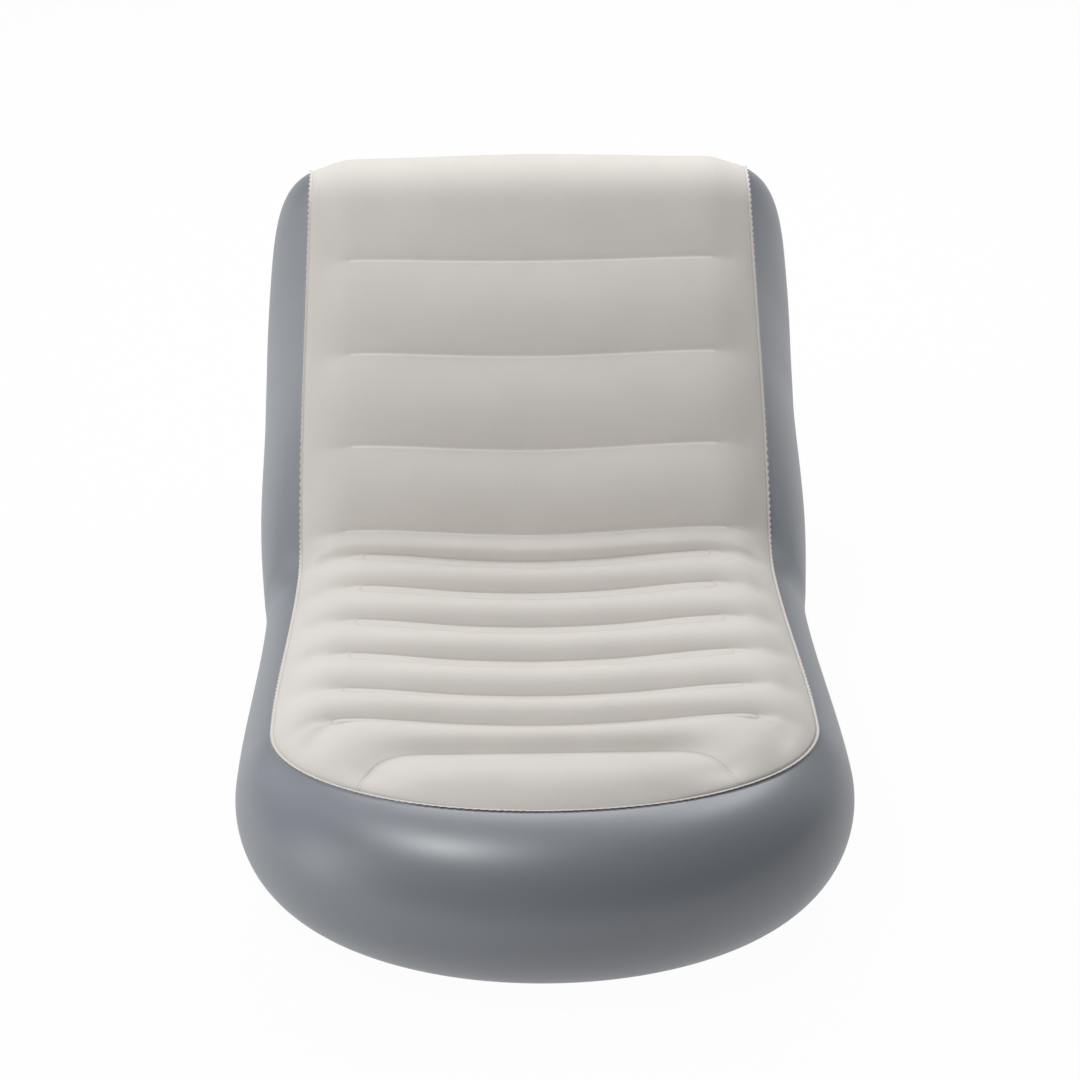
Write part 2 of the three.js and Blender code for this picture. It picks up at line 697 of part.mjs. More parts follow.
// Where the stations of the strip under a weld line stand across the width.
function stationsOf(w) {
  const row = sheetGrid[rows.findIndex((r) => r.s === lowEdge(w))];
  const right = row.filter((p, j) => columns[j - 1] > 0 && columns[j - 1] < seatWeldShare);
  return [...right.map((p) => -p.x).reverse(), 0, ...right.map((p) => p.x)];
}

// Flange under a weld line of the lying surface.
function weldFlange(w, x) {
  const i = rows.findIndex((row) => row.s === lowEdge(w));
  const [low, high] = [onRow(sheetGrid[i], x), onRow(sheetGrid[i + 1], x)];
  const inset = stripInset / w.width;
  const into = sheetPoint(w.s, 0).up.negate();
  return { from: low.clone().lerp(high, inset), to: high.clone().lerp(low, inset), into };
}

const floorFlange = (x, y) => ({
  from: vec(x, y, baseSheet),
  to: vec(x, y + baseFlange, baseSheet),
  into: vec(0, 0, 1),
});

// Flange on the rear panel, from one of its weld rows upwards.
function rearFlange(i, x) {
  const [low, high] = [onRow(rearGrid[i], x), onRow(rearGrid[i + 1], x)];
  const up = high.clone().sub(low).normalize();
  const into = vec(1, 0, 0).cross(up).normalize();
  const to = low.clone().addScaledVector(up, baseFlange).addScaledVector(into, lapEase);
  return { from: low, to, into };
}

function seatStrips() {
  return seatWelds.map((w, i) => {
    const stations = stationsOf(w).map((x) => {
      const top = weldFlange(w, x);
      return { top, bottom: floorFlange(x, top.from.y) };
    });
    return strip(`seat_strip_${i + 1}`, stations);
  });
}

// Places of the feet of the two lower back strips, as shares of the way from crease to rear edge
const backFootShares = [0.33, 0.68];

function backStrips() {
  return backWelds.map((w, i) => {
    const stations = stationsOf(w).map((x) => {
      const top = weldFlange(w, x);
      if (i >= backFootShares.length) {
        return { top, bottom: rearFlange(rearWeldRows[i - backFootShares.length], x) };
      }
      return { top, bottom: floorFlange(x, lerp(creaseLine.y, rearEdgeY, backFootShares[i])) };
    });
    return strip(`back_strip_${i + 1}`, stations);
  });
}

// Valve: turned mouldings on one axis along Y, with heights measured from the panel's outer face

const panelFace = rearFlatY + wallSheet;

// A solid turned about the valve's axis, from corners [radius, height].
function turned(corners) {
  const points = corners.map(([r, h]) => new THREE.Vector2(r, h));
  points.push(points[0].clone());
  const geometry = new THREE.LatheGeometry(points, roundSteps);
  return solidOf(geometry.translate(0, panelFace, valveHeight));
}

// A block between two corners [x, height, offset], where offset is upwards from the valve's axis.
function block([x0, h0, z0], [x1, h1, z1]) {
  const geometry = new THREE.BoxGeometry(x1 - x0, h1 - h0, z1 - z0);
  return solidOf(
    geometry.translate((x0 + x1) / 2, panelFace + (h0 + h1) / 2, valveHeight + (z0 + z1) / 2)
  );
}

// A rod along X, centred over the valve's axis.
function rod(radius, length, height, offset) {
  const geometry = new THREE.CylinderGeometry(radius, radius, length, roundSteps / 2);
  geometry.rotateZ(Math.PI / 2);
  return solidOf(geometry.translate(0, panelFace + height, valveHeight + offset));
}

// A pair of ears with a hole through both for a hinge's pin.
function ears({ gap, width, low, height, offset, radius, pin }) {
  const side = (sign) => {
    const [a, b] = [sign * gap, sign * (gap + width)].sort((p, q) => p - q);
    return block([a, low, offset - radius], [b, height + radius, offset + radius]);
  };
  const hole = rod(pin + hingeClearance, 4 * (gap + width), height, offset);
  return side(1).add(side(-1)).subtract(hole);
}

const collarRadius = boreRadius + collarWall;
const plugLow = collarRise + seamGap;
const plugTop = plugLow + plugThickness;
const hingeHeight = plugLow + strapThickness / 2;
const hingePin = hingeRadius / 2;
const inletTop = plugTop + inletRise;
const inletLow = plugLow - plugDepth + inletWall;
const inletOuter = inletRadius + inletWall;
const capLow = inletTop + seamGap;
const capHingeHeight = capLow + strapThickness / 2;
const capHingeRadius = capThickness - strapThickness / 2;
const flapTop = inletLow - seamGap;

const plugHinge = {
  gap: strapWidth / 2 + hingeClearance,
  width: hingeEarWidth,
  low: collarRise - lipThickness,
  height: hingeHeight,
  offset: -hingeOffset,
  radius: hingeRadius,
  pin: hingePin,
};
const capHinge = {
  gap: capStrapWidth / 2 + hingeClearance,
  width: hingeEarWidth / 2,
  low: plugTop - plugThickness / 2,
  height: capHingeHeight,
  offset: capHingeOffset,
  radius: capHingeRadius,
  pin: capHingeRadius / 2,
};

function valveBase() {
  const flangeTop = -wallSheet - seamGap;
  const flangeLow = flangeTop - baseFlangeSheet;
  const lipLow = collarRise - lipThickness;
  const body = turned([
    [boreRadius, collarRise],
    [boreRadius, -collarDepth],
    [collarRadius, -collarDepth],
    [collarRadius, flangeLow],
    [baseFlangeRadius, flangeLow],
    [baseFlangeRadius, flangeTop],
    [collarRadius, flangeTop],
    [collarRadius, lipLow],
    [lipRadius, lipLow],
    [lipRadius, collarRise],
  ]);
  const reach = plugHinge.gap + plugHinge.width;
  const armTop = hingeHeight - hingeRadius - hingeClearance;
  const arm = block(
    [-reach, lipLow, -hingeOffset - hingeRadius],
    [reach, armTop, -lipRadius + hingeEarWidth]
  );
  return named('valve_base', geometryOf(body.add(arm).add(ears(plugHinge))), valveMaterial());
}

// The tether of a stopper or cap: a strap from its rim to a knuckle whose pin ends in the ears.
function tether({ gap, width, height, offset, radius, pin }, strap, low, rim) {
  const [near, far] = [rim, offset].sort((p, q) => p - q);
  const knuckle = rod(radius, strap, height, offset);
  const pinRod = rod(pin, 2 * (gap + width), height, offset);
  return block([-strap / 2, low, near], [strap / 2, low + strapThickness, far]).add(knuckle).add(pinRod);
}

function valvePlug() {
  const skirtTop = boreRadius - plugClearance;
  const skirtLow = skirtTop - plugTaper;
  const body = turned([
    [inletRadius, inletTop],
    [inletRadius, inletLow],
    [inletOuter, inletLow],
    [inletOuter, plugLow],
    [skirtTop - plugWall, plugLow],
    [skirtLow - plugWall, plugLow - plugDepth],
    [skirtLow, plugLow - plugDepth],
    [skirtTop, plugLow],
    [plugRadius, plugLow],
    [plugRadius, plugTop],
    [inletOuter, plugTop],
    [inletOuter, inletTop],
  ]);
  const lugHalf = inletRadius / 2;
  const lugFar = flapHingeOffset + flapThickness;
  const lug = block(
    [-lugHalf, inletLow, inletRadius + inletWall / 2],
    [lugHalf, plugLow + inletWall / 2, lugFar]
  );
  const solid = body
    .add(tether(plugHinge, strapWidth, plugLow, -plugRadius + plugThickness))
    .add(ears(capHinge))
    .add(lug);
  return named('valve_plug', geometryOf(solid), valveMaterial());
}

function inletCap() {
  const spigot = inletRadius - capClearance;
  const body = turned([
    [0, capLow + capThickness],
    [0, capLow - capSpigot],
    [spigot - capTaper, capLow - capSpigot],
    [spigot, capLow],
    [capRadius, capLow],
    [capRadius, capLow + capThickness],
  ]);
  const strap = tether(capHinge, capStrapWidth, capLow, capRadius - capThickness);
  return named('inlet_cap', geometryOf(body.add(strap)), valveMaterial());
}

function inletFlap() {
  const body = turned([
    [0, flapTop],
    [0, flapTop - flapThickness],
    [flapRadius, flapTop - flapThickness],
    [flapRadius, flapTop],
  ]);
  const tabHalf = inletRadius / 3;
  const tab = block([-tabHalf, flapTop - flapThickness, 0], [tabHalf, flapTop, flapHingeOffset]);
  return named('inlet_flap', geometryOf(body.add(tab)), valveMaterial());
}

// Assembly, centred over the middle of its length

const lounger = new THREE.Group();
lounger.name = 'inflatable_lounger';
lounger.add(lyingSurface(), sideWall(), rearPanel(), baseSheetPiece());
lounger.add(...seatStrips(), ...backStrips());
lounger.add(valveBase(), valvePlug(), inletCap(), inletFlap());

const box = new THREE.Box3().setFromObject(lounger);
lounger.position.y = -(box.min.y + box.max.y) / 2;

export default lounger;
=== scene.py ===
"""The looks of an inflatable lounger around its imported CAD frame.

Lengths are in millimetres until a mesh is made. Every new surface is a grid of points worked out from
two parameters and closed into a thin shell: the lying surface with its welded rim, the side wall, the
rear panel and the base sheet. Their outlines repeat the sizes of the CAD solids that they replace,
and their tubes, bands and creases follow the photograph more closely than the solids do.
"""

import math

import bmesh
import bpy
import numpy as np
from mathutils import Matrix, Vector


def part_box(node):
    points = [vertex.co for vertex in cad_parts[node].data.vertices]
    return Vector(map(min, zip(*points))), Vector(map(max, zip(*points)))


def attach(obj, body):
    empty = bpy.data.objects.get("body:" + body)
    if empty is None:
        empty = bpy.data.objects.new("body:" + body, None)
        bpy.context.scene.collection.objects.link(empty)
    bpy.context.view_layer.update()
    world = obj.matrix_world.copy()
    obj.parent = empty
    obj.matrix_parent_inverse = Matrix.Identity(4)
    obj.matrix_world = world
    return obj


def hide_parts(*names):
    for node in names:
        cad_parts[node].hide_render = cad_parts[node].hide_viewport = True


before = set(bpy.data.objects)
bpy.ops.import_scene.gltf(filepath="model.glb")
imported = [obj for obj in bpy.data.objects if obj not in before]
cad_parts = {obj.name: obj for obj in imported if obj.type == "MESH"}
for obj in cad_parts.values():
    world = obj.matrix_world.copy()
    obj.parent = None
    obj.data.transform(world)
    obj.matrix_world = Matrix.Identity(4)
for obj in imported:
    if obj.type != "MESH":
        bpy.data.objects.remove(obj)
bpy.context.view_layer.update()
MM = 0.001

# Sizes shared with the CAD: sheets and the middle line of the lying surface

FLOCKED_SHEET = 0.6
WALL_SHEET = 0.4
BASE_SHEET = 0.5
SEAM_GAP = 0.3
FRONT_SEAM_Y = -752.0
FRONT_SEAM_Z = 298.0
SEAT_LENGTH = 824.0
SEAT_SAG = 58.0
CORNER_RADIUS = 110.0
BACK_ANGLE = math.radians(48)
BACK_LENGTH = 584.0
CREST_RADIUS = 100.0
CREST_END_ANGLE = math.radians(-70)

# Sizes shared with the CAD: outline of the lying surface

FOOT_HALF_WIDTH = 435.0
FOOT_LENGTH = 290.0
FOOT_ROUNDNESS = 2.02
WAIST_HALF_WIDTH = 404.0
TOP_HALF_WIDTH = 383.0
SEAM_RIM = 6.0
SEAT_EDGE_DROP = 12.0
CREST_EDGE_DROP = 8.0

# Sizes shared with the CAD: weld lines and tubes

FRONT_TUBE = 181.0
SEAT_PITCH = 110.0
SEAT_PITCH_SHARES = np.array([0.836, 0.964, 1.055, 1.082, 1.073, 0.991])
LAST_SEAT_TUBE = 61.0
BACK_PITCH = 170.0
BACK_PITCH_SHARES = np.array([0.894, 0.994, 1.018])
LAST_SEAT_TUBE_HEIGHT = 15.0
BACK_TUBE_HEIGHT = 17.0
CREST_TUBE_HEIGHT = 18.0
CORNER_SETBACK = 3.0  # of the rear corner from the third weld line of the back

# Sizes shared with the CAD: wall and base

BASE_HALF_WIDTH = 415.0
BASE_WAIST_HALF_WIDTH = 392.0
BASE_REAR_HALF_WIDTH = 398.0
BASE_FOOT_LENGTH = 330.0
FRONT_BULGE = 184.0
SIDE_BULGE = 115.0
BACK_BULGE = 90.0
BULGE_FADE = 250.0
MOST_BULGE_SHARE = 0.45  # of the straight way from the seam to the foot
WALL_LAP = 8.0
LAP_EASE = 1.5

# Sizes shared with the CAD: rear panel and valve

REAR_EDGE_Y = 842.0
REAR_FLAT_Y = 890.0
REAR_FLAT_LOW = 85.0
REAR_FLAT_HIGH = 195.0
REAR_TUBE_HEIGHT = 14.0
REAR_LAP = 10.0
REAR_WELD_SHARES = (0.2, 0.65, 1.0)
REAR_SWELL_POWER = 0.8
REAR_SIDE_POWER = 2.2
REAR_EDGE_POWER = 1.6
EDGE_CLEARANCE = 1.0
FLAT_SHARE = 0.14
VALVE_HEIGHT = 140.0
VALVE_HOLE_RADIUS = 19.8

# Sizes shared with the CAD: how the wall's foot climbs from the rear corner to the top

LAST_TUBE_SHARES = np.array([0, 0.25, 0.75, 1])
CREST_SHARES = np.array([0.13, 0.3, 0.44, 0.58, 0.72, 0.86, 1])
REAR_FOOT_SHARE = 0.4
REAR_HEIGHT_SHARES = np.array([0.2, 0.375, 0.52, 0.65, 0.77, 0.89, 1])

# Looks only: weld bands and tubes

SEAT_BANDS = [6.0, 10.0, 14.0, 22.0, 22.0, 22.0, 22.0]
BACK_BAND = 4.0
SEAT_SHIFTS = np.array([-5.0, -1.0, -5.0, -3.0, -3.0, -3.0, -6.0])  # of the bands along the middle line
SEAT_WELD_HALF_LENGTHS = (330.0, 340.0, 324.0, 316.0, 308.0, 302.0, 298.0)
BACK_WELD_HALF_LENGTHS = (326.0, 315.0, 316.0, 316.0)
LINE_BOW = 8.0  # weld lines of the back bow up beside the middle
ROW_BEND = 8
LINE_END_SHARES = (0.27, 0.81, 1.33, 1.79)  # where the first rows meet the seam, of the foot's length
SEAT_TUBE_HEIGHT = 23.0
SEAT_CROWN_SHARE = 0.36  # where a seat tube is highest, as a share of its width from its near weld line
BACK_CROWN_SHARE = 0.5
TUBE_EASE = 20.0
SEAT_FULLNESS = 0.72
BACK_FULLNESS = 0.7
REAR_FULLNESS = 0.72
SEAT_GENTLE = 1.4  # power that eases a seat tube's far side down to its band
VALLEY_STRETCH = 3.5  # past a weld line's end its valley runs on, this many times longer than wide
VALLEY_FADE = 200.0
VALLEY_END_SHARE = 0.7  # depth of the valley at the line's end
VALLEY_SEAM_SHARE = 0.4  # share of the seam's rounding over which a valley fades

# Looks only: the border beside the weld lines, the seam's rounding and the creases

SEAT_BORDER = 22.0  # height of the sheet beside the ends of the weld lines
BACK_BORDER = 14.0
CREST_BORDER = 8.0
BORDER_FADE = 120.0
BORDER_EASE = 60.0
BORDER_RISE = 4.0
SIDE_CROWN = 12.0  # the sheet rises towards its sides
CROWN_SHARE = 0.75
LAST_CROWN_SHARE = 0.25
CREST_CROWN_SHARE = -0.6
SEAM_ROUND = 110.0
CREST_SEAM_ROUND = 92.0
SEAM_FULLNESS = 0.88
SHOULDER = 10.0
SHOULDER_REACH = 13.0
REAR_FADE = 150.0
REAR_DROP_SHARE = 0.7
CREASE_START = (266.0, 338.0)  # row distance and x
CREASE_END = (236.0, 392.0)
CREASE_STEEP = 8.0
CREASE_GENTLE = 30.0
CREASE_DEPTH = 12.0

# Looks only: rim, wall and rear panel

RIM_TILT = math.radians(10)
RIM_SHEET = 0.9
RIM_WIDTH = 4.4
RIM_ROOT = 1.0
RIM_SHARES = (0, 1 / 3, 2 / 3, 1)
RIM_PITCH = 11.5
RIM_WAVE = 0.6
RIM_SECOND = 2.3  # a second, smaller wave runs this many times faster
RIM_SECOND_SHARE = 1 / 3
RIM_FLUTTER = 0.3
RIM_FLUTTER_PHASE = 1.0
RIM_DRIFT = 3.6
RIM_DRIFT_LENGTH = 47.0
RIM_SWELL_LENGTH = 90.0
RIM_SETBACK = 1.5
PUCKERS = ((43.0, 0.0), (29.0, 1.3), (67.0, 2.1))  # pitch and phase
PUCKER_HEIGHT = 0.12
PUCKER_FADE = 15.0
CORNER_EASE = 25.0  # way along the seam over which the wall's foot leaves the floor
REAR_LEAN_POWER = 1.15

# Looks only: how closely the surfaces are sampled

TIP_LENGTH = 60.0
TIP_ROWS = 14
BAND_REACH = 13.0
BAND_CELLS = 12
ROW_STEP = 8.5
ENDS_SHARE = 0.6
INNER_COLUMNS = 24
OUTER_COLUMNS = 54
RIM_STEP = 1.5
WALL_STEP = 6.0
WALL_ARC_STEPS = 40
REAR_STEP = 6.0
REAR_COLUMNS = 44
REAR_LAP_SHARES = np.array([0, 0.5, 1])
FLAT_CELLS = 44
HOLE_CELLS = 6
DRAWN_CELLS = 18
LOOKUP_PLACES = 400
SIDEWAYS_SHARE = 0.86  # a second place on a row of the rear panel, which gives the row's direction
BASE_STEP = 10.0
BASE_COLUMNS = 5
ROW_DIGITS = 6
SHARE_DIGITS = 9
MERGE = 1e-4
ALMOST_NOTHING = 1e-6
TINY = 1e-9

# Looks only: colours, in sRGB bytes until tone() turns them

FLOCK_SRGB = (217, 212, 206)
GREY_SRGB = (132, 137, 145)
BASE_SRGB = (84, 87, 91)
STRIP_SRGB = (185, 188, 192)
VALVE_SRGB = (141, 145, 150)

# Looks only: flock, whose sizes are in metres as its noise is, its pressed lines with painted shade, and
# painted highlight lines

FLOCK_CLOUD = 0.09
FLOCK_CLOUD_DETAIL = 3.0
FLOCK_CLOUD_AMOUNT = 0.09
FIBRE = 0.0016
FIBRE_DETAIL = 4.0
FIBRE_DEPTH = 0.00035
FIBRE_AMOUNT = 0.12
FLOCK_BUMP = 0.8
FLOCK_ROUGHNESS = 0.95
FLOCK_SPECULAR = 0.15
FLOCK_SHEEN = 0.25
FLOCK_SHEEN_ROUGHNESS = 0.6
WELD_LINE_WIDTH = 1.3
WELD_LINE_DEPTH = 0.5
# painted shade: the colour is darkened along the groove of each seat band's outline
WELD_GROOVE_PAINTED_SHADE = (0.88, 0.87, 0.86, 1)
# painted highlight: a lighter line of colour just under each weld line of the back
LIP_HIGHLIGHT_OFFSET = 2 * BAND_REACH / BAND_CELLS  # one row of the grid
LIP_HIGHLIGHT_WIDTH = 2.4
LIP_PAINTED_HIGHLIGHT = (1.24, 1.24, 1.25, 1)

# Looks only: satin plastic, whose sizes are in metres too

PLASTIC_FINISHES = (  # name, colour, roughness, grain size, grain depth and specular level
    ("grey_vinyl", GREY_SRGB, 0.42, 0.0022, 0.0001, 1.0),
    ("base_vinyl", BASE_SRGB, 0.6, 0.003, 0.0003, 0.4),
    ("strip_vinyl", STRIP_SRGB, 0.45, 0.0015, 0.00005, 0.4),
    ("valve_plastic", VALVE_SRGB, 0.35, 0.0008, 0.00002, 0.4),
)
PLASTIC_CLOUD = 0.12
PLASTIC_DETAIL = 3.0
PLASTIC_CLOUD_AMOUNT = 0.08
PLASTIC_GRAIN_AMOUNT = 0.1
PLASTIC_BUMP = 0.6
GLOSS_SPREAD = 0.03

# Looks only: what the groups and nodes start from

GRAIN_SIZE = 0.001
GRAIN_DETAIL = 2.0
GRAIN_DEPTH = 0.0001
VARIED_AMOUNT = 0.05
MIX_FACTOR = 0  # a Mix node's sockets for colours, by number, since its names repeat
MIX_A = 6
MIX_B = 7
MIX_RESULT = 2

# Looks only: camera and light

CAMERA_AZIMUTH = math.radians(-1.4)
CAMERA_ELEVATION = math.radians(29.5)
CAMERA_DISTANCE = 6993.0
CAMERA_REACH = 100000.0
SENSOR = 36.0
LENS = 134.4
CAMERA_SHIFT = 0.00417
TARGET_Y = 153.0
TARGET_Z = 250.0
SOFTBOXES = (  # name, direction from the object, distance and size in metres, watts
    ("key", (-0.343, -0.365, 0.866), 3.6, (0.6, 0.6), 50),
    ("top_back", (0, 0.7, 0.7), 3.4, (3.0, 1.6), 63),
    ("top_right", (0.5, 0.4, 0.86), 4.0, (0.8, 0.8), 34),
    ("left", (-0.88, -0.42, 0.2), 3.4, (1.2, 2.0), 19),
    ("left_back", (-0.9, 0.35, 0.4), 3.4, (1.2, 2.0), 8),
    ("right", (0.95, 0.3, 0.35), 3.4, (1.2, 2.0), 5),
)
AMBIENT = 0.13
GLOSS_AMBIENT = 0.17
WHITE = (1, 1, 1, 1)
FLOOR_HALF = 15000.0
FLOOR_COLOR = (0.8, 0.8, 0.8, 1)
FLOOR_WHITE_SHARE = 0.97

# The part's own origin lies this far along y from that of these sizes.
SHIFT_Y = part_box("base_sheet")[1][1] / MM - (REAR_EDGE_Y + SEAM_RIM)
TARGET = Vector((0, (TARGET_Y + SHIFT_Y) * MM, TARGET_Z * MM))


def smooth(x, low, high):
    """Smooth step from 0 at low to 1 at high."""
    t = np.clip((x - low) / (high - low), 0, 1)
    return t * t * (3 - 2 * t)


def eased(pairs, x):
    """Value at x of smooth steps between [x, value] pairs."""
    value = np.full(np.shape(x), float(pairs[0][1]))
    for (x0, v0), (x1, v1) in zip(pairs, pairs[1:]):
        value = value + (v1 - v0) * smooth(x, x0, x1)
    return value


def smooth_min(a, b, reach):
    """The lower of a and b, rounded where they are nearer than reach."""
    mix = np.clip(0.5 + 0.5 * (b - a) / reach, 0, 1)
    return b + (a - b) * mix - reach * mix * (1 - mix)


# The middle line of the lying surface

SEAT_TURN = 2 * SEAT_SAG / SEAT_LENGTH
CHAIN = (
    (SEAT_LENGTH, SEAT_TURN),
    (CORNER_RADIUS * BACK_ANGLE, BACK_ANGLE),
    (BACK_LENGTH, 0.0),
    (CREST_RADIUS * (BACK_ANGLE - CREST_END_ANGLE), CREST_END_ANGLE - BACK_ANGLE),
)
SHEET_LENGTH = sum(length for length, turn in CHAIN)


def middle_line(s):
    """y, z and slope at distance s: arcs and a straight, each walked along its chord."""
    left = np.clip(np.asarray(s, float), 0, SHEET_LENGTH)
    y = np.full(left.shape, FRONT_SEAM_Y)
    z = np.full(left.shape, FRONT_SEAM_Z)
    angle = np.full(left.shape, -SEAT_TURN)
    for length, turn in CHAIN:
        part = np.clip(left, 0, length)
        turned = turn * part / length
        chord = part * np.sinc(turned / 2 / np.pi)
        y = y + chord * np.cos(angle + turned / 2)
        z = z + chord * np.sin(angle + turned / 2)
        angle = angle + turned
        left = left - part
    return y, z, angle


# Weld lines, as distances along the middle line

SEAT_WELDS = FRONT_TUBE + SEAT_PITCH * np.concatenate([[0], np.cumsum(SEAT_PITCH_SHARES)])
CREASE = SEAT_WELDS[-1] + LAST_SEAT_TUBE
BACK_WELDS = CREASE + BACK_PITCH * np.concatenate([[0], np.cumsum(BACK_PITCH_SHARES)])
CORNER = BACK_WELDS[2] - CORNER_SETBACK
STEADY = SEAT_WELDS[-2]


def foot_round(c):
    """Half width of the rounded foot end as a share, where c falls from 1 at its tip to 0.

    It is a superellipse: the powers of c and of the half width add up to 1.
    """
    return (1 - np.clip(c, 0, 1) ** FOOT_ROUNDNESS) ** (1 / FOOT_ROUNDNESS)


FOOT_START_Y = float(middle_line(FOOT_LENGTH)[0])


def seam_half_width(end):
    """Half width of the lying surface at distance end along its seam."""
    body = eased(
        ((FOOT_LENGTH, FOOT_HALF_WIDTH), (CREASE, WAIST_HALF_WIDTH), (SHEET_LENGTH, TOP_HALF_WIDTH)), end
    )
    foot = FOOT_HALF_WIDTH * foot_round(1 - end / FOOT_LENGTH)
    return np.where(end < FOOT_LENGTH, foot, body)


def row_end(s):
    """Where the row that starts at distance s on the middle line meets the seam."""
    at = [0, *SEAT_WELDS[: len(LINE_END_SHARES)], STEADY]
    end = [0, *(share * FOOT_LENGTH for share in LINE_END_SHARES), STEADY]
    return np.where(s < STEADY, np.interp(s, at, end), s)


def edge_drop(s):
    """How far the seam lies under the weld lines."""
    return eased(((CORNER, SEAT_EDGE_DROP), (SHEET_LENGTH, CREST_EDGE_DROP)), s)


def seam_frame(end):
    """Root of the seam on the +X side and its directions: outward, up, along the rim and square to it."""
    y, z, angle = middle_line(end)
    zero = np.zeros_like(y)
    up = np.stack([zero, -np.sin(angle), np.cos(angle)], -1)
    root = np.stack([seam_half_width(end), y, z], -1) - up * edge_drop(end)[..., None]
    c = np.clip(1 - end / FOOT_LENGTH, 0, 1)
    power = FOOT_ROUNDNESS - 1
    out = np.stack([foot_round(c) ** power / FOOT_HALF_WIDTH, -(c**power) / FOOT_LENGTH, zero], -1)
    out[end >= FOOT_LENGTH] = (1, 0, 0)
    out /= np.linalg.norm(out, axis=-1, keepdims=True)
    rim = out * math.cos(RIM_TILT) + up * math.sin(RIM_TILT)
    square = up * math.cos(RIM_TILT) - out * math.sin(RIM_TILT)
    return root, out, up, rim, square


def mirrored(points):
    """The points on the -X side."""
    return points * np.array([-1.0, 1.0, 1.0])


# Making meshes from grids


def grid_normals(grid):
    """Unit normals of a grid of points: columns crossed with rows. A first row in one point has one."""
    normal = np.cross(np.gradient(grid, axis=1), np.gradient(grid, axis=0))
    if np.ptp(grid[0], axis=0).max() < MERGE:
        normal[0] = normal[1].sum(axis=0)
    return normal / np.maximum(np.linalg.norm(normal, axis=-1, keepdims=True), TINY)


def mesh_object(name, points, quads, material, body="chamber"):
    """A smooth closed object from points in millimetres and quads, that rides on a body."""
    used, quads = np.unique(quads, return_inverse=True)
    quads = quads.reshape(-1, 4)
    points = (points[used] + (0, SHIFT_Y, 0)) * MM
    mesh = bpy.data.meshes.new(name)
    mesh.vertices.add(len(points))
    mesh.vertices.foreach_set("co", points.ravel())
    mesh.loops.add(quads.size)
    mesh.loops.foreach_set("vertex_index", quads.ravel().astype(np.int32))
    mesh.polygons.add(len(quads))
    mesh.polygons.foreach_set("loop_start", np.arange(0, quads.size, 4, dtype=np.int32))
    mesh.polygons.foreach_set("use_smooth", np.ones(len(quads), bool))
    mesh.update(calc_edges=True)
    mesh.materials.append(material)
    obj = bpy.data.objects.new(name, mesh)
    bpy.context.scene.collection.objects.link(obj)
    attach(obj, body)
    return obj


def drawn_together(obj):
    """Merges the points that share one place, as at the tip of the foot end."""
    merged = bmesh.new()
    merged.from_mesh(obj.data)
    bmesh.ops.remove_doubles(merged, verts=merged.verts, dist=MERGE * MM)
    merged.to_mesh(obj.data)
    merged.free()
    return obj


def shell(name, grid, thickness, material, keep=None):
    """A closed sheet: the grid is its face on the air's side, and its other face lies thickness outward.

    Outward is columns crossed with rows. Cells where keep is False are left out. Every edge with no
    cell beyond it gets a face between the two sides, so holes and rims are closed as well.
    """
    rows, columns = grid.shape[:2]
    outer = grid + grid_normals(grid) * thickness
    index = np.arange(rows * columns).reshape(rows, columns)
    cells = np.stack([index[:-1, :-1], index[:-1, 1:], index[1:, 1:], index[1:, :-1]], -1)
    cells = cells.reshape(-1, 4) if keep is None else cells[keep]
    start, end = cells.ravel(), np.roll(cells, -1, axis=1).ravel()
    count = rows * columns
    alone = ~np.isin(start * count + end, end * count + start)
    start, end = start[alone], end[alone]
    rim = np.stack([start, end, end + count, start + count], -1)
    quads = np.concatenate([cells[:, ::-1], cells + count, rim])
    points = np.concatenate([grid.reshape(-1, 3), outer.reshape(-1, 3)])
    return mesh_object(name, points, quads, material)


# Lying surface


def spread(low, high, step):
    """Even places from low to high, at most step apart."""
    return np.linspace(low, high, max(2, int(math.ceil((high - low) / step)) + 1))


SEAT_BAND_PLACES = SEAT_WELDS + SEAT_SHIFTS
WELDS = np.concatenate([SEAT_BAND_PLACES, BACK_WELDS])
WELD_BANDS = np.array(SEAT_BANDS + [BACK_BAND] * len(BACK_WELDS))
WELD_HALVES = np.array(SEAT_WELD_HALF_LENGTHS + BACK_WELD_HALF_LENGTHS)
TUBE_HEIGHTS = np.array(
    [SEAT_TUBE_HEIGHT] * len(SEAT_WELDS)
    + [LAST_SEAT_TUBE_HEIGHT]
    + [BACK_TUBE_HEIGHT] * len(BACK_PITCH_SHARES)
    + [CREST_TUBE_HEIGHT]
)
TUBE_WIDTHS = np.diff(np.concatenate([[0], WELDS, [SHEET_LENGTH]]))
CROWN_SHARES = np.array([SEAT_CROWN_SHARE] * (len(SEAT_WELDS) + 1) + [BACK_CROWN_SHARE] * len(BACK_WELDS))
GENTLE_POWERS = [SEAT_GENTLE] * len(SEAT_WELDS) + [1.0] * len(BACK_WELDS)

# Tables along the middle line, as pairs of a distance and a value

SIDE_RISE = (
    (FRONT_TUBE, 0),
    (SEAT_WELDS[1], SIDE_CROWN),
    (CREASE, SIDE_CROWN),
    (BACK_WELDS[-1], LAST_CROWN_SHARE * SIDE_CROWN),
    (SHEET_LENGTH, CREST_CROWN_SHARE * SIDE_CROWN),
)
BORDER_HEIGHT = (
    (CREASE - BORDER_FADE, SEAT_BORDER),
    (CREASE + BORDER_FADE, BACK_BORDER),
    (SHEET_LENGTH, CREST_BORDER),
)
TUBE_FULLNESS = ((STEADY, SEAT_FULLNESS), (BACK_WELDS[1], BACK_FULLNESS))
SEAM_ROUNDING = ((BACK_WELDS[-1], SEAM_ROUND), (SHEET_LENGTH - REAR_FADE / 2, CREST_SEAM_ROUND))
ROW_BOW = ((STEADY, 0), (CREASE, LINE_BOW), (SHEET_LENGTH, 0))


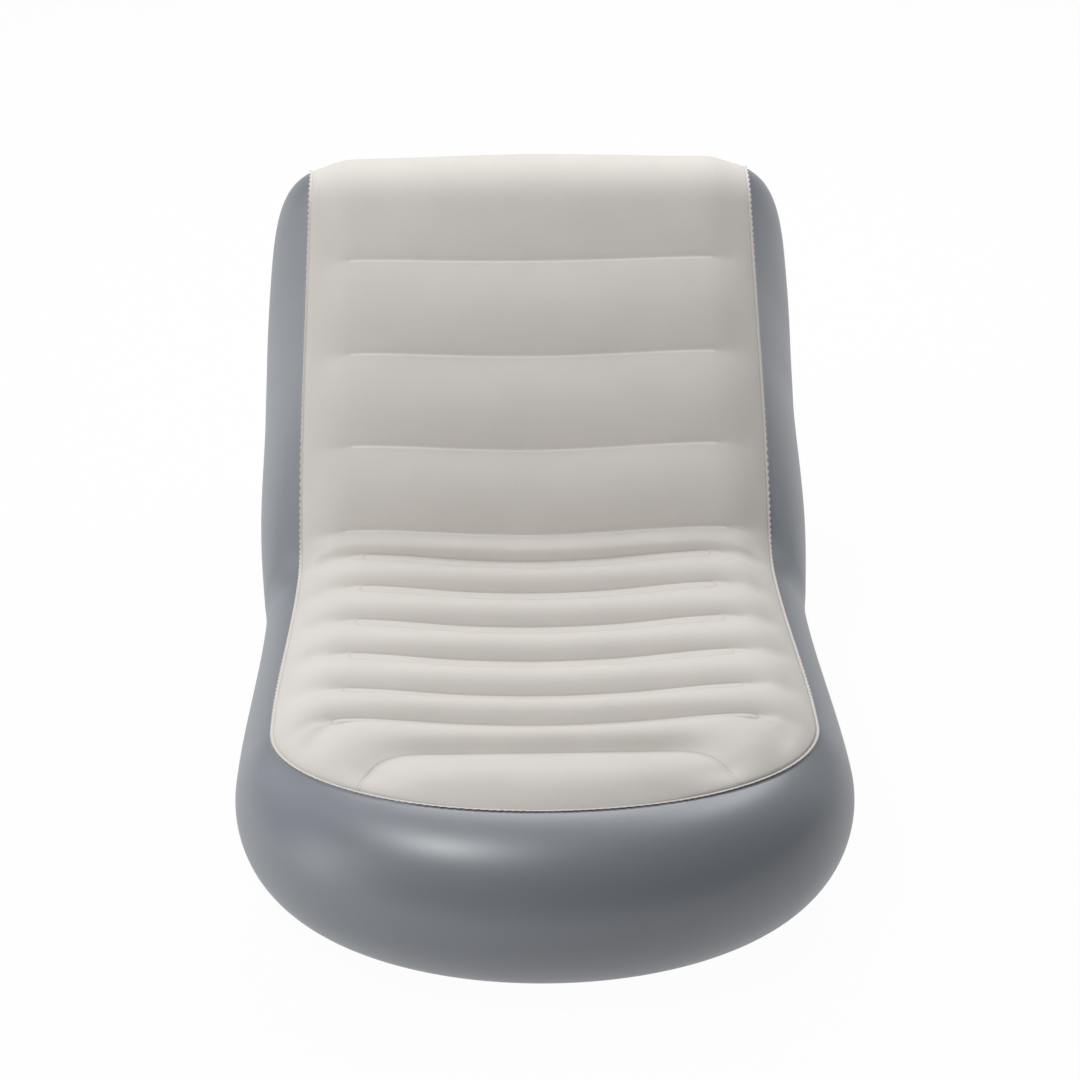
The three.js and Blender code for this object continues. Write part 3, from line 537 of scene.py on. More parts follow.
def weld_distance(s, x):
    """Distance from the outline of the seat's nearest weld band, negative inside; a band has round ends."""
    nearest = np.full(np.broadcast(s, x).shape, SHEET_LENGTH)
    for at, band, half in zip(SEAT_BAND_PLACES, SEAT_BANDS, SEAT_WELD_HALF_LENGTHS):
        past_end = np.maximum(np.abs(x) - (half - band / 2), 0)
        nearest = np.minimum(nearest, np.hypot(past_end, s - at) - band / 2)
    return nearest


def painted_highlight_distance(s, x):
    """Distance from the nearest painted highlight line: one runs just under each weld line of the back, up to
    its ends.
    """
    nearest = np.full(np.broadcast(s, x).shape, SHEET_LENGTH)
    for at, half in zip(BACK_WELDS, BACK_WELD_HALF_LENGTHS):
        past_end = np.maximum(np.abs(x) - half, 0)
        nearest = np.minimum(nearest, np.hypot(past_end, s - at + LIP_HIGHLIGHT_OFFSET))
    return nearest


def tube_share(s, x):
    """Share of the way from the nearest weld band to the highest line of the tube on that side of it.

    The way is measured past a band's outline, which is drawn out beyond the band's ends. A power above
    1 makes the sheet leave a band gently.
    """
    share = np.ones(np.broadcast(s, x).shape)
    for i, (at, band, half) in enumerate(zip(WELDS, WELD_BANDS, WELD_HALVES)):
        past_end = np.maximum(np.abs(x) - (half - band / 2), 0) / VALLEY_STRETCH
        distance = np.maximum(np.hypot(past_end, s - at) - band / 2, 0)
        before = (1 - CROWN_SHARES[i]) * (TUBE_WIDTHS[i] - band)
        after = CROWN_SHARES[i + 1] * (TUBE_WIDTHS[i + 1] - band)
        behind = smooth(s, at - TUBE_EASE, at + TUBE_EASE)
        reach = before + (after - before) * behind
        power = GENTLE_POWERS[i] + (1 - GENTLE_POWERS[i]) * behind
        share = np.minimum(share, (distance / reach) ** power)
    return share


def per_tube(values, s):
    """The value of the tube at s, eased across the weld line between two tubes."""
    value = np.full(np.shape(s), float(values[0]))
    for at, before, after in zip(WELDS, values, values[1:]):
        value = value + (after - before) * smooth(s, at - TUBE_EASE, at + TUBE_EASE)
    return value


def row_place(s, share):
    """Distance along the middle line and x of a point: a row bends to meet the seam where row_end says."""
    end = row_end(s)
    return s + (end - s) * np.abs(share) ** ROW_BEND, share * seam_half_width(end)


def seam_distance(s, share):
    """About how far a point lies from the seam or from the sheet's rear end.

    Two distances a and b along the two grid directions give that to a slanting edge, a b / hypot(a, b).
    """
    local, x = row_place(s, share)
    near = np.maximum(seam_half_width(local) - np.abs(x), 0) + ALMOST_NOTHING
    seam = FOOT_LENGTH * (1 - foot_round(np.abs(x) / FOOT_HALF_WIDTH))
    for other in (local - seam, SHEET_LENGTH - s):
        other = np.maximum(other, 0) + ALMOST_NOTHING
        near = near * other / np.hypot(near, other)
    return near


def corner_crease(s, x):
    """Depth share of the crease from the second weld line's end to the seam.

    It is exp of minus the square of distance over width, with a smaller width on the rear side.
    """
    start, end = np.array(CREASE_START), np.array(CREASE_END)
    way = end - start
    point = np.stack(np.broadcast_arrays(s, np.abs(x)), -1) - start
    along = np.clip(point @ way / (way @ way), 0, 1)
    away = point - along[..., None] * way
    width = np.where(away[..., 0] > 0, CREASE_STEEP, CREASE_GENTLE)
    return np.exp(-((np.linalg.norm(away, axis=-1) / width) ** 2))


def surface_height(s, share):
    """Height of the sheet over its middle line.

    Between two weld bands it is a power of the sine of an angle that runs from 0 at each band to a
    right angle at the highest line of the tube. Past the line ends the tubes run into a border. Near
    the seam the sheet falls to the seam on a like curve, and the lower of the two, rounded where they
    meet, less the valleys, is the height.
    """
    x = row_place(s, share)[1]
    a = np.abs(share)
    line_end = np.interp(s, WELDS, WELD_HALVES)
    past = smooth(np.abs(x), line_end, line_end + BORDER_EASE)
    depth = 1 - (1 - VALLEY_END_SHARE) * smooth(np.abs(x), line_end - VALLEY_FADE, line_end)
    tube = per_tube(TUBE_HEIGHTS, s)
    border = np.minimum(eased(BORDER_HEIGHT, s), tube + BORDER_RISE)
    top = tube + (border - tube) * past
    crown = smooth(a, 0, CROWN_SHARE) * eased(SIDE_RISE, s)
    valley = top * depth * (1 - np.sin(np.pi / 2 * tube_share(s, x)) ** eased(TUBE_FULLNESS, s))
    valley = valley + CREASE_DEPTH * corner_crease(s, x) * (1 - valley / top)
    rear = smooth(s, SHEET_LENGTH - REAR_FADE, SHEET_LENGTH)
    drop = edge_drop(s) * (1 - rear * (1 - smooth(a, REAR_DROP_SHARE, 1)))
    q = np.clip(seam_distance(s, share) / eased(SEAM_ROUNDING, s), 0, 1)
    shoulder = (top + crown + SHOULDER + drop) * np.sin(np.pi / 2 * q) ** SEAM_FULLNESS - drop
    height = smooth_min(top + crown, shoulder, SHOULDER_REACH) - valley * smooth(q, 0, VALLEY_SEAM_SHARE)
    return np.where(q > ALMOST_NOTHING, height, -drop)


def surface(s, share):
    """Points of the sheet's under face, at row distance s and share of the half width.

    Each lies square off the middle line by the sheet's height. Rows of the back also bow up beside
    the middle.
    """
    local, x = row_place(s, share)
    a = np.abs(share)
    bow = eased(ROW_BOW, s) * smooth(a, 0, CROWN_SHARE) * (1 - smooth(a, CROWN_SHARE, 1))
    y, z, angle = middle_line(local + bow)
    height = surface_height(s, share)
    return np.stack([x, y - np.sin(angle) * height, z + np.cos(angle) * height], -1)


def surface_rows():
    """Row distances: closer together at the foot end's tip, and across the weld bands."""
    tip = TIP_LENGTH * np.linspace(0, 1, TIP_ROWS) ** 2
    between = [spread(TIP_LENGTH, WELDS[0] - BAND_REACH, ROW_STEP)]
    for at, following in zip(WELDS, [*WELDS[1:], SHEET_LENGTH + BAND_REACH]):
        between.append(np.linspace(at - BAND_REACH, at + BAND_REACH, BAND_CELLS + 1))
        between.append(spread(at + BAND_REACH, following - BAND_REACH, ROW_STEP))
    return np.unique(np.concatenate([tip, *between]).round(ROW_DIGITS))


def surface_shares():
    """Column shares from -1 to 1: closer together where the weld lines end and near the seam."""
    inner = np.linspace(0, ENDS_SHARE, INNER_COLUMNS)
    outer = np.linspace(ENDS_SHARE, 1, OUTER_COLUMNS)
    return np.unique(np.concatenate([-outer, -inner, inner, outer]).round(SHARE_DIGITS))


def flocked_top(material):
    """The lying surface, which carries the distances from its bands and from its painted highlight lines for
    its material.
    """
    s, share = np.meshgrid(surface_rows(), surface_shares(), indexing="ij")
    top = shell("flocked_top", surface(s, share), FLOCKED_SHEET, material)
    x = row_place(s, share)[1]
    for name, distance in (("weld_distance", weld_distance), ("painted_highlight_distance", painted_highlight_distance)):
        lines = top.data.attributes.new(name, "FLOAT", "POINT")
        lines.data.foreach_set("value", np.tile(distance(s, x).ravel(), 2))
    return drawn_together(top)


# Seam, wall, rear and base


def both_sides(right):
    """The rows of the +X side with those of the -X side before them, from one rear end to the other."""
    return np.concatenate([mirrored(right)[:0:-1], right])


def seam_samples(step):
    """Places along the seam: even angles round the foot end, then even steps up to the rear."""
    angle = spread(0, math.pi / 2, step / FOOT_HALF_WIDTH)
    return np.concatenate([FOOT_LENGTH * (1 - np.cos(angle)), spread(FOOT_LENGTH, SHEET_LENGTH, step)[1:]])


def walked(points):
    """Distance walked along a line of points."""
    return np.concatenate([[0], np.cumsum(np.linalg.norm(np.diff(points, axis=0), axis=1))])


def seam_rim(material):
    """The welded rim along the seam, whose edge runs in small waves of width and of height.

    A wave is the sine of the length along the seam over the pitch, whose phase drifts and whose size
    swells along the way.
    """
    root, _, _, rim, square = seam_frame(seam_samples(RIM_STEP))
    length = walked(root)
    drift = np.sin(length / RIM_DRIFT_LENGTH)
    phase = 2 * np.pi * length / RIM_PITCH + RIM_DRIFT * drift
    wave = np.sin(phase) + RIM_SECOND_SHARE * np.sin(RIM_SECOND * phase)
    width = RIM_WIDTH + RIM_WAVE * (1 + np.sin(length / RIM_SWELL_LENGTH)) * wave
    lift = RIM_FLUTTER * (np.sin(phase + RIM_FLUTTER_PHASE) + drift)
    across = np.array([-RIM_ROOT / RIM_WIDTH, *RIM_SHARES])
    reach = across * width[:, None]
    rise = across * np.abs(across) * lift[:, None]
    right = root[:, None] + rim[:, None] * reach[..., None] + square[:, None] * rise[..., None]
    right[0, :, 0] = 0
    return shell("seam_rim", both_sides(right), RIM_SHEET, material)


def through(places, values, x):
    """A curve through points with no overshoot: cubic pieces whose slopes are harmonic means."""
    places, values = np.asarray(places, float), np.asarray(values, float)
    rise = np.diff(values) / np.diff(places)
    slope = np.concatenate([[rise[0]], 2 * rise[:-1] * rise[1:] / (rise[:-1] + rise[1:]), [rise[-1]]])
    i = np.clip(np.searchsorted(places, x, side="right") - 1, 0, len(rise) - 1)
    width = places[i + 1] - places[i]
    t = np.clip((x - places[i]) / width, 0, 1)
    start = values[i] + t * t * (3 - 2 * t) * (values[i + 1] - values[i])
    return start + width * t * (1 - t) * ((1 - t) * slope[i] - t * slope[i + 1])


REAR_TOP = seam_frame(np.array([SHEET_LENGTH]))[0][0]
REAR_TOP_HEIGHT = REAR_TOP[2] - 2 * SEAM_RIM
REAR_TOP_MIDDLE_Y = float(surface(np.array([SHEET_LENGTH]), np.array([0.0]))[0, 1])
WALL_PLACES = np.concatenate([
    CORNER + LAST_TUBE_SHARES * (BACK_WELDS[3] - BACK_WELDS[2]),
    BACK_WELDS[3] + CREST_SHARES * (SHEET_LENGTH - BACK_WELDS[3]),
])
WALL_HEIGHTS = np.concatenate([
    [0, REAR_FOOT_SHARE * REAR_FLAT_LOW, REAR_FLAT_LOW, REAR_FLAT_HIGH],
    REAR_FLAT_HIGH + REAR_HEIGHT_SHARES * (REAR_TOP_HEIGHT - REAR_FLAT_HIGH),
])
LAP_DEPTH = SEAM_GAP + WALL_SHEET
CREASE_Y = float(middle_line(CREASE)[0])
BASE_WIDTHS = (
    (FOOT_START_Y, BASE_HALF_WIDTH),
    (CREASE_Y, BASE_WAIST_HALF_WIDTH),
    (REAR_EDGE_Y, BASE_REAR_HALF_WIDTH),
)


def rear_face(z, share):
    """Points of the rear panel's inner face at height z and share of its half width.

    Its middle rises from the base's edge to the upright flat that holds the valve, and on to the top
    with two shallow tubes; a power of the share takes it back to its side edges.
    """
    ends = np.linspace(CORNER, SHEET_LENGTH, LOOKUP_PLACES)
    half_width = seam_half_width(np.interp(z, through(WALL_PLACES, WALL_HEIGHTS, ends), ends))
    rise = np.clip(z / REAR_TOP_HEIGHT, 0, 1)
    edge_x = BASE_REAR_HALF_WIDTH + (half_width - BASE_REAR_HALF_WIDTH) * rise**2
    edge_y = REAR_EDGE_Y + (REAR_TOP[1] - REAR_EDGE_Y) * rise**REAR_EDGE_POWER
    above = np.clip((z - REAR_FLAT_HIGH) / (REAR_TOP_HEIGHT - REAR_FLAT_HIGH), 0, 1)
    tube = np.zeros_like(z)
    for low, high in zip(REAR_WELD_SHARES, REAR_WELD_SHARES[1:]):
        t = np.clip((above - low) / (high - low), 0, 1)
        tube = tube + REAR_TUBE_HEIGHT * np.maximum(np.sin(np.pi * t), 0) ** REAR_FULLNESS
    swell = np.sin(np.pi / 2 * np.clip(z / REAR_FLAT_LOW, 0, 1)) ** REAR_SWELL_POWER
    lower = REAR_EDGE_Y + (REAR_FLAT_Y - REAR_EDGE_Y) * swell
    middle = lower + (REAR_TOP_MIDDLE_Y - REAR_FLAT_Y) * above**REAR_LEAN_POWER + tube
    full = 1 - np.clip((np.abs(share) - FLAT_SHARE) / (1 - FLAT_SHARE), 0, 1) ** REAR_SIDE_POWER
    x = share * (edge_x - EDGE_CLEARANCE)
    return np.stack([x, edge_y + (middle - edge_y) * full, z], -1)


def unit(vectors):
    """The vectors at length 1."""
    return vectors / np.linalg.norm(vectors, axis=-1, keepdims=True)


def wall_foot(end, out):
    """Foot of the wall at places along the seam, the way it laps inward and the way off the other sheet.

    Up to the rear corner it stands on the base sheet. From there it climbs the edge of the rear panel.
    """
    c = np.clip(1 - end / FOOT_LENGTH, 0, 1)
    back_way = np.clip((end - CREASE) / (CORNER - CREASE), 0, 1)
    back_y = CREASE_Y + (REAR_EDGE_Y - LAP_DEPTH - CREASE_Y) * back_way
    side_y = np.where(end > CREASE, back_y, middle_line(end)[0])
    front = end < FOOT_LENGTH
    x = np.where(front, BASE_HALF_WIDTH * foot_round(c), eased(BASE_WIDTHS, side_y))
    y = np.where(front, FOOT_START_Y - BASE_FOOT_LENGTH * c, side_y)
    floor = np.stack([x, y, np.full_like(x, BASE_SHEET + LAP_DEPTH)], -1)
    z = through(WALL_PLACES, WALL_HEIGHTS, end)
    edge = rear_face(z, np.ones_like(z))
    edge[:, 0] += EDGE_CLEARANCE
    at_edge = np.ones_like(z)
    inward = unit(rear_face(z, SIDEWAYS_SHARE * at_edge) - rear_face(z, at_edge))
    climb = unit(rear_face(z + 1, at_edge) - rear_face(z, at_edge))
    away = unit(np.cross(climb, inward))
    t = smooth(end, CORNER, CORNER + CORNER_EASE)[:, None]
    foot = floor + (edge + away * LAP_DEPTH - floor) * t
    inward = unit(-out + (inward + out) * t)
    return foot, inward, unit(np.array([0, 0, 1]) + (away - (0, 0, 1)) * t)


def wall_lines(end):
    """Lines of the wall's inner face from the rim's tip to the lap, one row for each place on the seam.

    Between the seam's root and the foot a line is one arc, with the bulge that the height asks for.
    """
    root, out, _, rim, square = seam_frame(end)
    foot, inward, away = wall_foot(end, out)
    root = root - square * SEAM_GAP
    chord = root - foot
    length = np.linalg.norm(chord, axis=-1, keepdims=True)
    along = chord / length
    side = unit(out - along * (out * along).sum(-1, keepdims=True))
    at_foot = SIDE_BULGE + (FRONT_BULGE - SIDE_BULGE) * out[:, 1] ** 2
    at_back = eased(((CREASE, SIDE_BULGE), (CORNER, BACK_BULGE)), end)
    full = np.where(end < FOOT_LENGTH, at_foot, at_back)[:, None]
    bulge = np.minimum(full * (1 - np.exp(-length / BULGE_FADE)), MOST_BULGE_SHARE * length)
    half = 2 * np.arctan(2 * bulge / length)
    radius = length / 2 / np.sin(half)
    angle = half * (1 - 2 * np.linspace(0, 1, WALL_ARC_STEPS + 1))
    middle = ((root + foot) / 2)[:, None]
    arc = middle + along[:, None] * (radius * np.sin(angle))[..., None]
    arc = arc + side[:, None] * (radius * (np.cos(angle) - np.cos(half)))[..., None]
    tip = root + rim * (RIM_WIDTH - RIM_SETBACK)
    lap = foot + inward * WALL_LAP + away * LAP_EASE
    lines = np.concatenate([tip[:, None], arc, lap[:, None]], 1)
    lines[0, :, 0] = 0
    return lines


def vinyl_wall(material):
    """The side wall, with small puckers that run down from the seam and fade with depth.

    They are a sum of sines of the length along the seam, times exp of minus depth over a fade length.
    """
    lines = wall_lines(seam_samples(WALL_STEP))
    length = walked(lines[:, 1])
    steps = np.linalg.norm(np.diff(lines, axis=1, prepend=lines[:, :1]), axis=-1)
    depth = steps.cumsum(1)
    ripple = np.zeros(len(lines))
    for pitch, shift in PUCKERS:
        ripple = ripple + np.sin(2 * np.pi * length / pitch + shift)
    fade = smooth(depth, SEAM_RIM, 2 * SEAM_RIM) * np.exp(-depth / PUCKER_FADE)
    lines = lines + grid_normals(lines) * (PUCKER_HEIGHT * ripple[:, None] * fade)[..., None]
    lines[0, :, 0] = 0
    return shell("vinyl_wall", both_sides(lines), WALL_SHEET, material)


def rear_skin(material):
    """The rear panel: its face, the round hole for the valve, and its edge tucked under the top sheet.

    Round the valve the grid's squares are drawn onto circles, fully at the hole and less further out,
    and the cells inside the hole are left out.
    """
    low = spread(BASE_SHEET + SEAM_GAP, REAR_FLAT_LOW, REAR_STEP)[:-1]
    flat = np.linspace(REAR_FLAT_LOW, REAR_FLAT_HIGH, FLAT_CELLS + 1)
    high = spread(REAR_FLAT_HIGH, REAR_TOP_HEIGHT, REAR_STEP)[1:]
    outer = np.linspace(FLAT_SHARE, 1, REAR_COLUMNS)[1:]
    inner = np.linspace(-FLAT_SHARE, FLAT_SHARE, FLAT_CELLS + 1)
    shares = np.concatenate([-outer[::-1], inner, outer])[::-1]
    z, share = np.meshgrid(np.concatenate([low, flat, high]), shares, indexing="ij")
    face = rear_face(z, share)
    row, column = np.meshgrid(np.arange(z.shape[0]), np.arange(z.shape[1]), indexing="ij")
    v = (row - (len(low) + FLAT_CELLS / 2)) / HOLE_CELLS
    u = ((z.shape[1] - 1) / 2 - column) / HOLE_CELLS
    square = np.maximum(np.abs(u), np.abs(v))
    drawn = DRAWN_CELLS / HOLE_CELLS
    pull = np.clip((drawn - square) / (drawn - 1), 0, 1)
    reach = VALVE_HOLE_RADIUS * square / np.maximum(np.hypot(u, v), TINY)
    face[..., 0] += pull * (u * reach - face[..., 0])
    face[..., 2] += pull * (VALVE_HEIGHT + v * reach - face[..., 2])
    lap, lap_share = np.meshgrid(REAR_LAP_SHARES, shares, indexing="ij")
    tucked = surface(SHEET_LENGTH - REAR_LAP * lap, lap_share)
    end_up = np.array([0, -math.sin(CREST_END_ANGLE), math.cos(CREST_END_ANGLE)])
    tucked = tucked - end_up * (LAP_DEPTH + LAP_EASE * lap)[..., None]
    tucked[..., 0] *= 1 - EDGE_CLEARANCE / REAR_TOP[0]
    grid = np.concatenate([face, tucked])
    lower, upper = square[:-1], square[1:]
    widest = np.maximum.reduce([lower[:, :-1], lower[:, 1:], upper[:, :-1], upper[:, 1:]])
    keep = np.ones((len(grid) - 1, len(shares) - 1), bool)
    keep[: len(widest)] = widest > 1 + TINY
    return shell("rear_skin", grid, WALL_SHEET, material, keep)


def base_skin(material):
    """The base sheet, flat on the floor, with its rim past the foot of the wall."""
    end = seam_samples(BASE_STEP)
    end = end[end < CORNER]
    out = seam_frame(end)[1]
    foot = wall_foot(end, out)[0] + out * SEAM_RIM
    foot = np.concatenate([foot, [[foot[-1, 0], REAR_EDGE_Y + SEAM_RIM, 0]]])
    foot[0, 0] = 0
    x = foot[:, :1] * np.linspace(1, -1, BASE_COLUMNS)
    y = np.broadcast_to(foot[:, 1:2], x.shape)
    grid = np.stack([x, y, np.full_like(x, BASE_SHEET)], -1)
    return drawn_together(shell("base_skin", grid, BASE_SHEET, material))


# Materials


def tone(red, green, blue):
    """Linear colour of an sRGB colour given in bytes, by the formula of the sRGB standard."""
    c = np.array([red, green, blue]) / 255
    linear = np.where(c <= 0.04045, c / 12.92, ((c + 0.055) / 1.055) ** 2.4)
    return (*linear.tolist(), 1.0)


def add(tree, kind, values=(), **settings):
    """A node with its settings, and with a value on or a link into each named or numbered socket."""
    node = tree.nodes.new(kind)
    for name, value in settings.items():
        setattr(node, name, value)
    for name, value in dict(values).items():
        if isinstance(value, bpy.types.NodeSocket):
            tree.links.new(value, node.inputs[name])
        else:
            node.inputs[name].default_value = value
    return node


def calculated(tree, operation, first, second=0.0):
    """What a Math node puts out for two values or sockets."""
    return add(tree, "ShaderNodeMath", {0: first, 1: second}, operation=operation).outputs[0]


def put(node, values):
    """Links sockets into a node's named inputs, in the tree that it belongs to."""
    for name, socket in values.items():
        node.id_data.links.new(socket, node.inputs[name])


def group(name, inputs, outputs):
    """An empty shader group with named sockets, given as (name, kind, default) and (name, kind)."""
    tree = bpy.data.node_groups.new(name, "ShaderNodeTree")
    for label, kind, default in inputs:
        socket = tree.interface.new_socket(name=label, in_out="INPUT", socket_type=kind)
        if default is not None:
            socket.default_value = default
    for label, kind in outputs:
        tree.interface.new_socket(name=label, in_out="OUTPUT", socket_type=kind)
    return tree, add(tree, "NodeGroupInput").outputs, add(tree, "NodeGroupOutput")


def grain_group():
    """Fine relief: noise of a given grain size, as a height and as a share from 0 to 1."""
    tree, source, result = group(
        "grain",
        (("Vector", "NodeSocketVector", None), ("Size", "NodeSocketFloat", GRAIN_SIZE),
         ("Detail", "NodeSocketFloat", GRAIN_DETAIL), ("Depth", "NodeSocketFloat", GRAIN_DEPTH)),
        (("Height", "NodeSocketFloat"), ("Share", "NodeSocketFloat")),
    )
    scale = calculated(tree, "DIVIDE", 1.0, source["Size"])
    noise = add(tree, "ShaderNodeTexNoise", {
        "Vector": source["Vector"], "Scale": scale, "Detail": source["Detail"],
    }).outputs["Fac"]
    put(result, {"Height": calculated(tree, "MULTIPLY", noise, source["Depth"]), "Share": noise})
    return tree


def varied_group():
    """A colour made lighter or darker: times 1 plus Amount times the share's way from one half."""
    tree, source, result = group(
        "varied",
        (("Color", "NodeSocketColor", None), ("Share", "NodeSocketFloat", 0.5),
         ("Amount", "NodeSocketFloat", VARIED_AMOUNT)),
        (("Color", "NodeSocketColor"),),
    )
    swing = calculated(tree, "MULTIPLY", calculated(tree, "SUBTRACT", source["Share"], 0.5), source["Amount"])
    scaled = add(tree, "ShaderNodeVectorMath", {
        "Vector": source["Color"], "Scale": calculated(tree, "ADD", 1.0, swing),
    }, operation="SCALE")
    put(result, {"Color": scaled.outputs[0]})
    return tree


def line_group():
    """A narrow line where a distance is zero: exp of minus the square of distance over width."""
    tree, source, result = group(
        "line",
        (("Distance", "NodeSocketFloat", 0.0), ("Width", "NodeSocketFloat", 1.0)),
        (("Share", "NodeSocketFloat"),),
    )
    ratio = calculated(tree, "DIVIDE", source["Distance"], source["Width"])
    minus = calculated(tree, "MULTIPLY", calculated(tree, "MULTIPLY", ratio, ratio), -1.0)
    put(result, {"Share": calculated(tree, "EXPONENT", minus)})
    return tree


GRAIN = grain_group()
VARIED = varied_group()
LINE = line_group()


def use(tree, of, values):
    """What a node of the given group puts out in a material's tree."""
    return add(tree, "ShaderNodeGroup", values, node_tree=of).outputs


def new_material(name):
    """A material with only its Principled shader, and its object coordinates."""
    material = bpy.data.materials.new(name)
    material.use_nodes = True
    tree = material.node_tree
    tree.nodes.clear()
    shader = add(tree, "ShaderNodeBsdfPrincipled")
    add(tree, "ShaderNodeOutputMaterial", {"Surface": shader.outputs[0]})
    place = add(tree, "ShaderNodeTexCoord").outputs["Object"]
    return material, tree, shader, place


def shaded(tree, color, share, shade):
    """The colour times a shade where share is 1, and as it is where share is 0."""
    factor = add(tree, "ShaderNodeMix", {MIX_FACTOR: share, MIX_A: WHITE, MIX_B: shade}, data_type="RGBA")
    product = add(tree, "ShaderNodeMix", {
        MIX_FACTOR: 1.0, MIX_A: color, MIX_B: factor.outputs[MIX_RESULT],
    }, data_type="RGBA", blend_type="MULTIPLY")
    return product.outputs[MIX_RESULT]


def line_share(tree, attribute, width):
    """The share of a narrow line that runs where an attribute of the mesh is zero."""
    distance = add(tree, "ShaderNodeAttribute", attribute_name=attribute).outputs["Fac"]
    return use(tree, LINE, {"Distance": distance, "Width": width})["Share"]


def flocked(name, with_welds):
    """Short cream flock: matt with a soft sheen, faint clouds, and lines at the welds.

    The seat's bands have a pressed groove along their outline, darkened with painted shade, and the back's
    weld lines have a painted highlight just under them.
    """
    material, tree, shader, place = new_material(name)
    clouds = use(tree, GRAIN, {
        "Vector": place, "Size": FLOCK_CLOUD, "Detail": FLOCK_CLOUD_DETAIL, "Depth": 0.0,
    })
    fibres = use(tree, GRAIN, {
        "Vector": place, "Size": FIBRE, "Detail": FIBRE_DETAIL, "Depth": FIBRE_DEPTH,
    })
    color, height = tone(*FLOCK_SRGB), fibres["Height"]
    for noise, amount in ((clouds, FLOCK_CLOUD_AMOUNT), (fibres, FIBRE_AMOUNT)):
        color = use(tree, VARIED, {"Color": color, "Share": noise["Share"], "Amount": amount})["Color"]
    if with_welds:
        groove = line_share(tree, "weld_distance", WELD_LINE_WIDTH)
        pressed = calculated(tree, "MULTIPLY", groove, -WELD_LINE_DEPTH * MM)
        height = calculated(tree, "ADD", height, pressed)
        # painted shade: the colour is darkened along the seat bands' grooves
        color = shaded(tree, color, groove, WELD_GROOVE_PAINTED_SHADE)
        # painted highlight: the colour is lightened just under the back's weld lines
        color = shaded(tree, color, line_share(tree, "painted_highlight_distance", LIP_HIGHLIGHT_WIDTH), LIP_PAINTED_HIGHLIGHT)
    bump = add(tree, "ShaderNodeBump", {"Height": height, "Distance": 1.0, "Strength": FLOCK_BUMP})
    put(shader, {"Base Color": color, "Normal": bump.outputs[0]})
    shader.inputs["Roughness"].default_value = FLOCK_ROUGHNESS
    shader.inputs["Specular IOR Level"].default_value = FLOCK_SPECULAR
    shader.inputs["Sheen Weight"].default_value = FLOCK_SHEEN
    shader.inputs["Sheen Roughness"].default_value = FLOCK_SHEEN_ROUGHNESS
    return material


def plastic(name, srgb, roughness, grain_size, grain_depth, specular):
    """Satin plastic sheet or moulding: a fine embossed grain and slight clouds in colour and gloss."""
    material, tree, shader, place = new_material(name)
    clouds = use(tree, GRAIN, {
        "Vector": place, "Size": PLASTIC_CLOUD, "Detail": PLASTIC_DETAIL, "Depth": 0.0,
    })
    grain = use(tree, GRAIN, {
        "Vector": place, "Size": grain_size, "Detail": PLASTIC_DETAIL, "Depth": grain_depth,
    })
    color = tone(*srgb)
    for noise, amount in ((clouds, PLASTIC_CLOUD_AMOUNT), (grain, PLASTIC_GRAIN_AMOUNT)):
        color = use(tree, VARIED, {"Color": color, "Share": noise["Share"], "Amount": amount})["Color"]
    gloss = add(tree, "ShaderNodeMapRange", {
        "Value": clouds["Share"], "To Min": roughness - GLOSS_SPREAD, "To Max": roughness + GLOSS_SPREAD,
    })
    bump = add(tree, "ShaderNodeBump", {"Height": grain["Height"], "Distance": 1.0, "Strength": PLASTIC_BUMP})
    put(shader, {"Base Color": color, "Roughness": gloss.outputs["Result"], "Normal": bump.outputs[0]})
    shader.inputs["Specular IOR Level"].default_value = specular
    return material


# Pieces


flock_top = flocked("flocked_vinyl", True)
flock_rim = flocked("flocked_rim", False)
grey_vinyl, base_vinyl, strip_vinyl, valve_plastic = (plastic(*finish) for finish in PLASTIC_FINISHES)

top = flocked_top(flock_top)
rim = seam_rim(flock_rim)
wall = vinyl_wall(grey_vinyl)
rear = rear_skin(grey_vinyl)
base = base_skin(base_vinyl)
for piece, node in ((top, "lying_surface"), (wall, "side_wall"), (rear, "rear_panel"), (base, "base_sheet")):
    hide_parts(node)
for name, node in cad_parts.items():
    if "strip" in name or name.startswith(("valve", "inlet")):
        node.data.materials.clear()
        node.data.materials.append(strip_vinyl if "strip" in name else valve_plastic)


# Stage


def softbox(name, direction, distance, size, watts):
    """An area light that looks at the object from a direction given as x, y, z."""
    light = bpy.data.lights.new(name, "AREA")
    light.shape = "RECTANGLE"
    light.size, light.size_y = size
    light.energy = watts
    obj = bpy.data.objects.new(name, light)
    way = Vector(direction).normalized()
    obj.location = TARGET + way * distance
    obj.rotation_euler = way.to_track_quat("Z", "Y").to_euler()
    bpy.context.scene.collection.objects.link(obj)


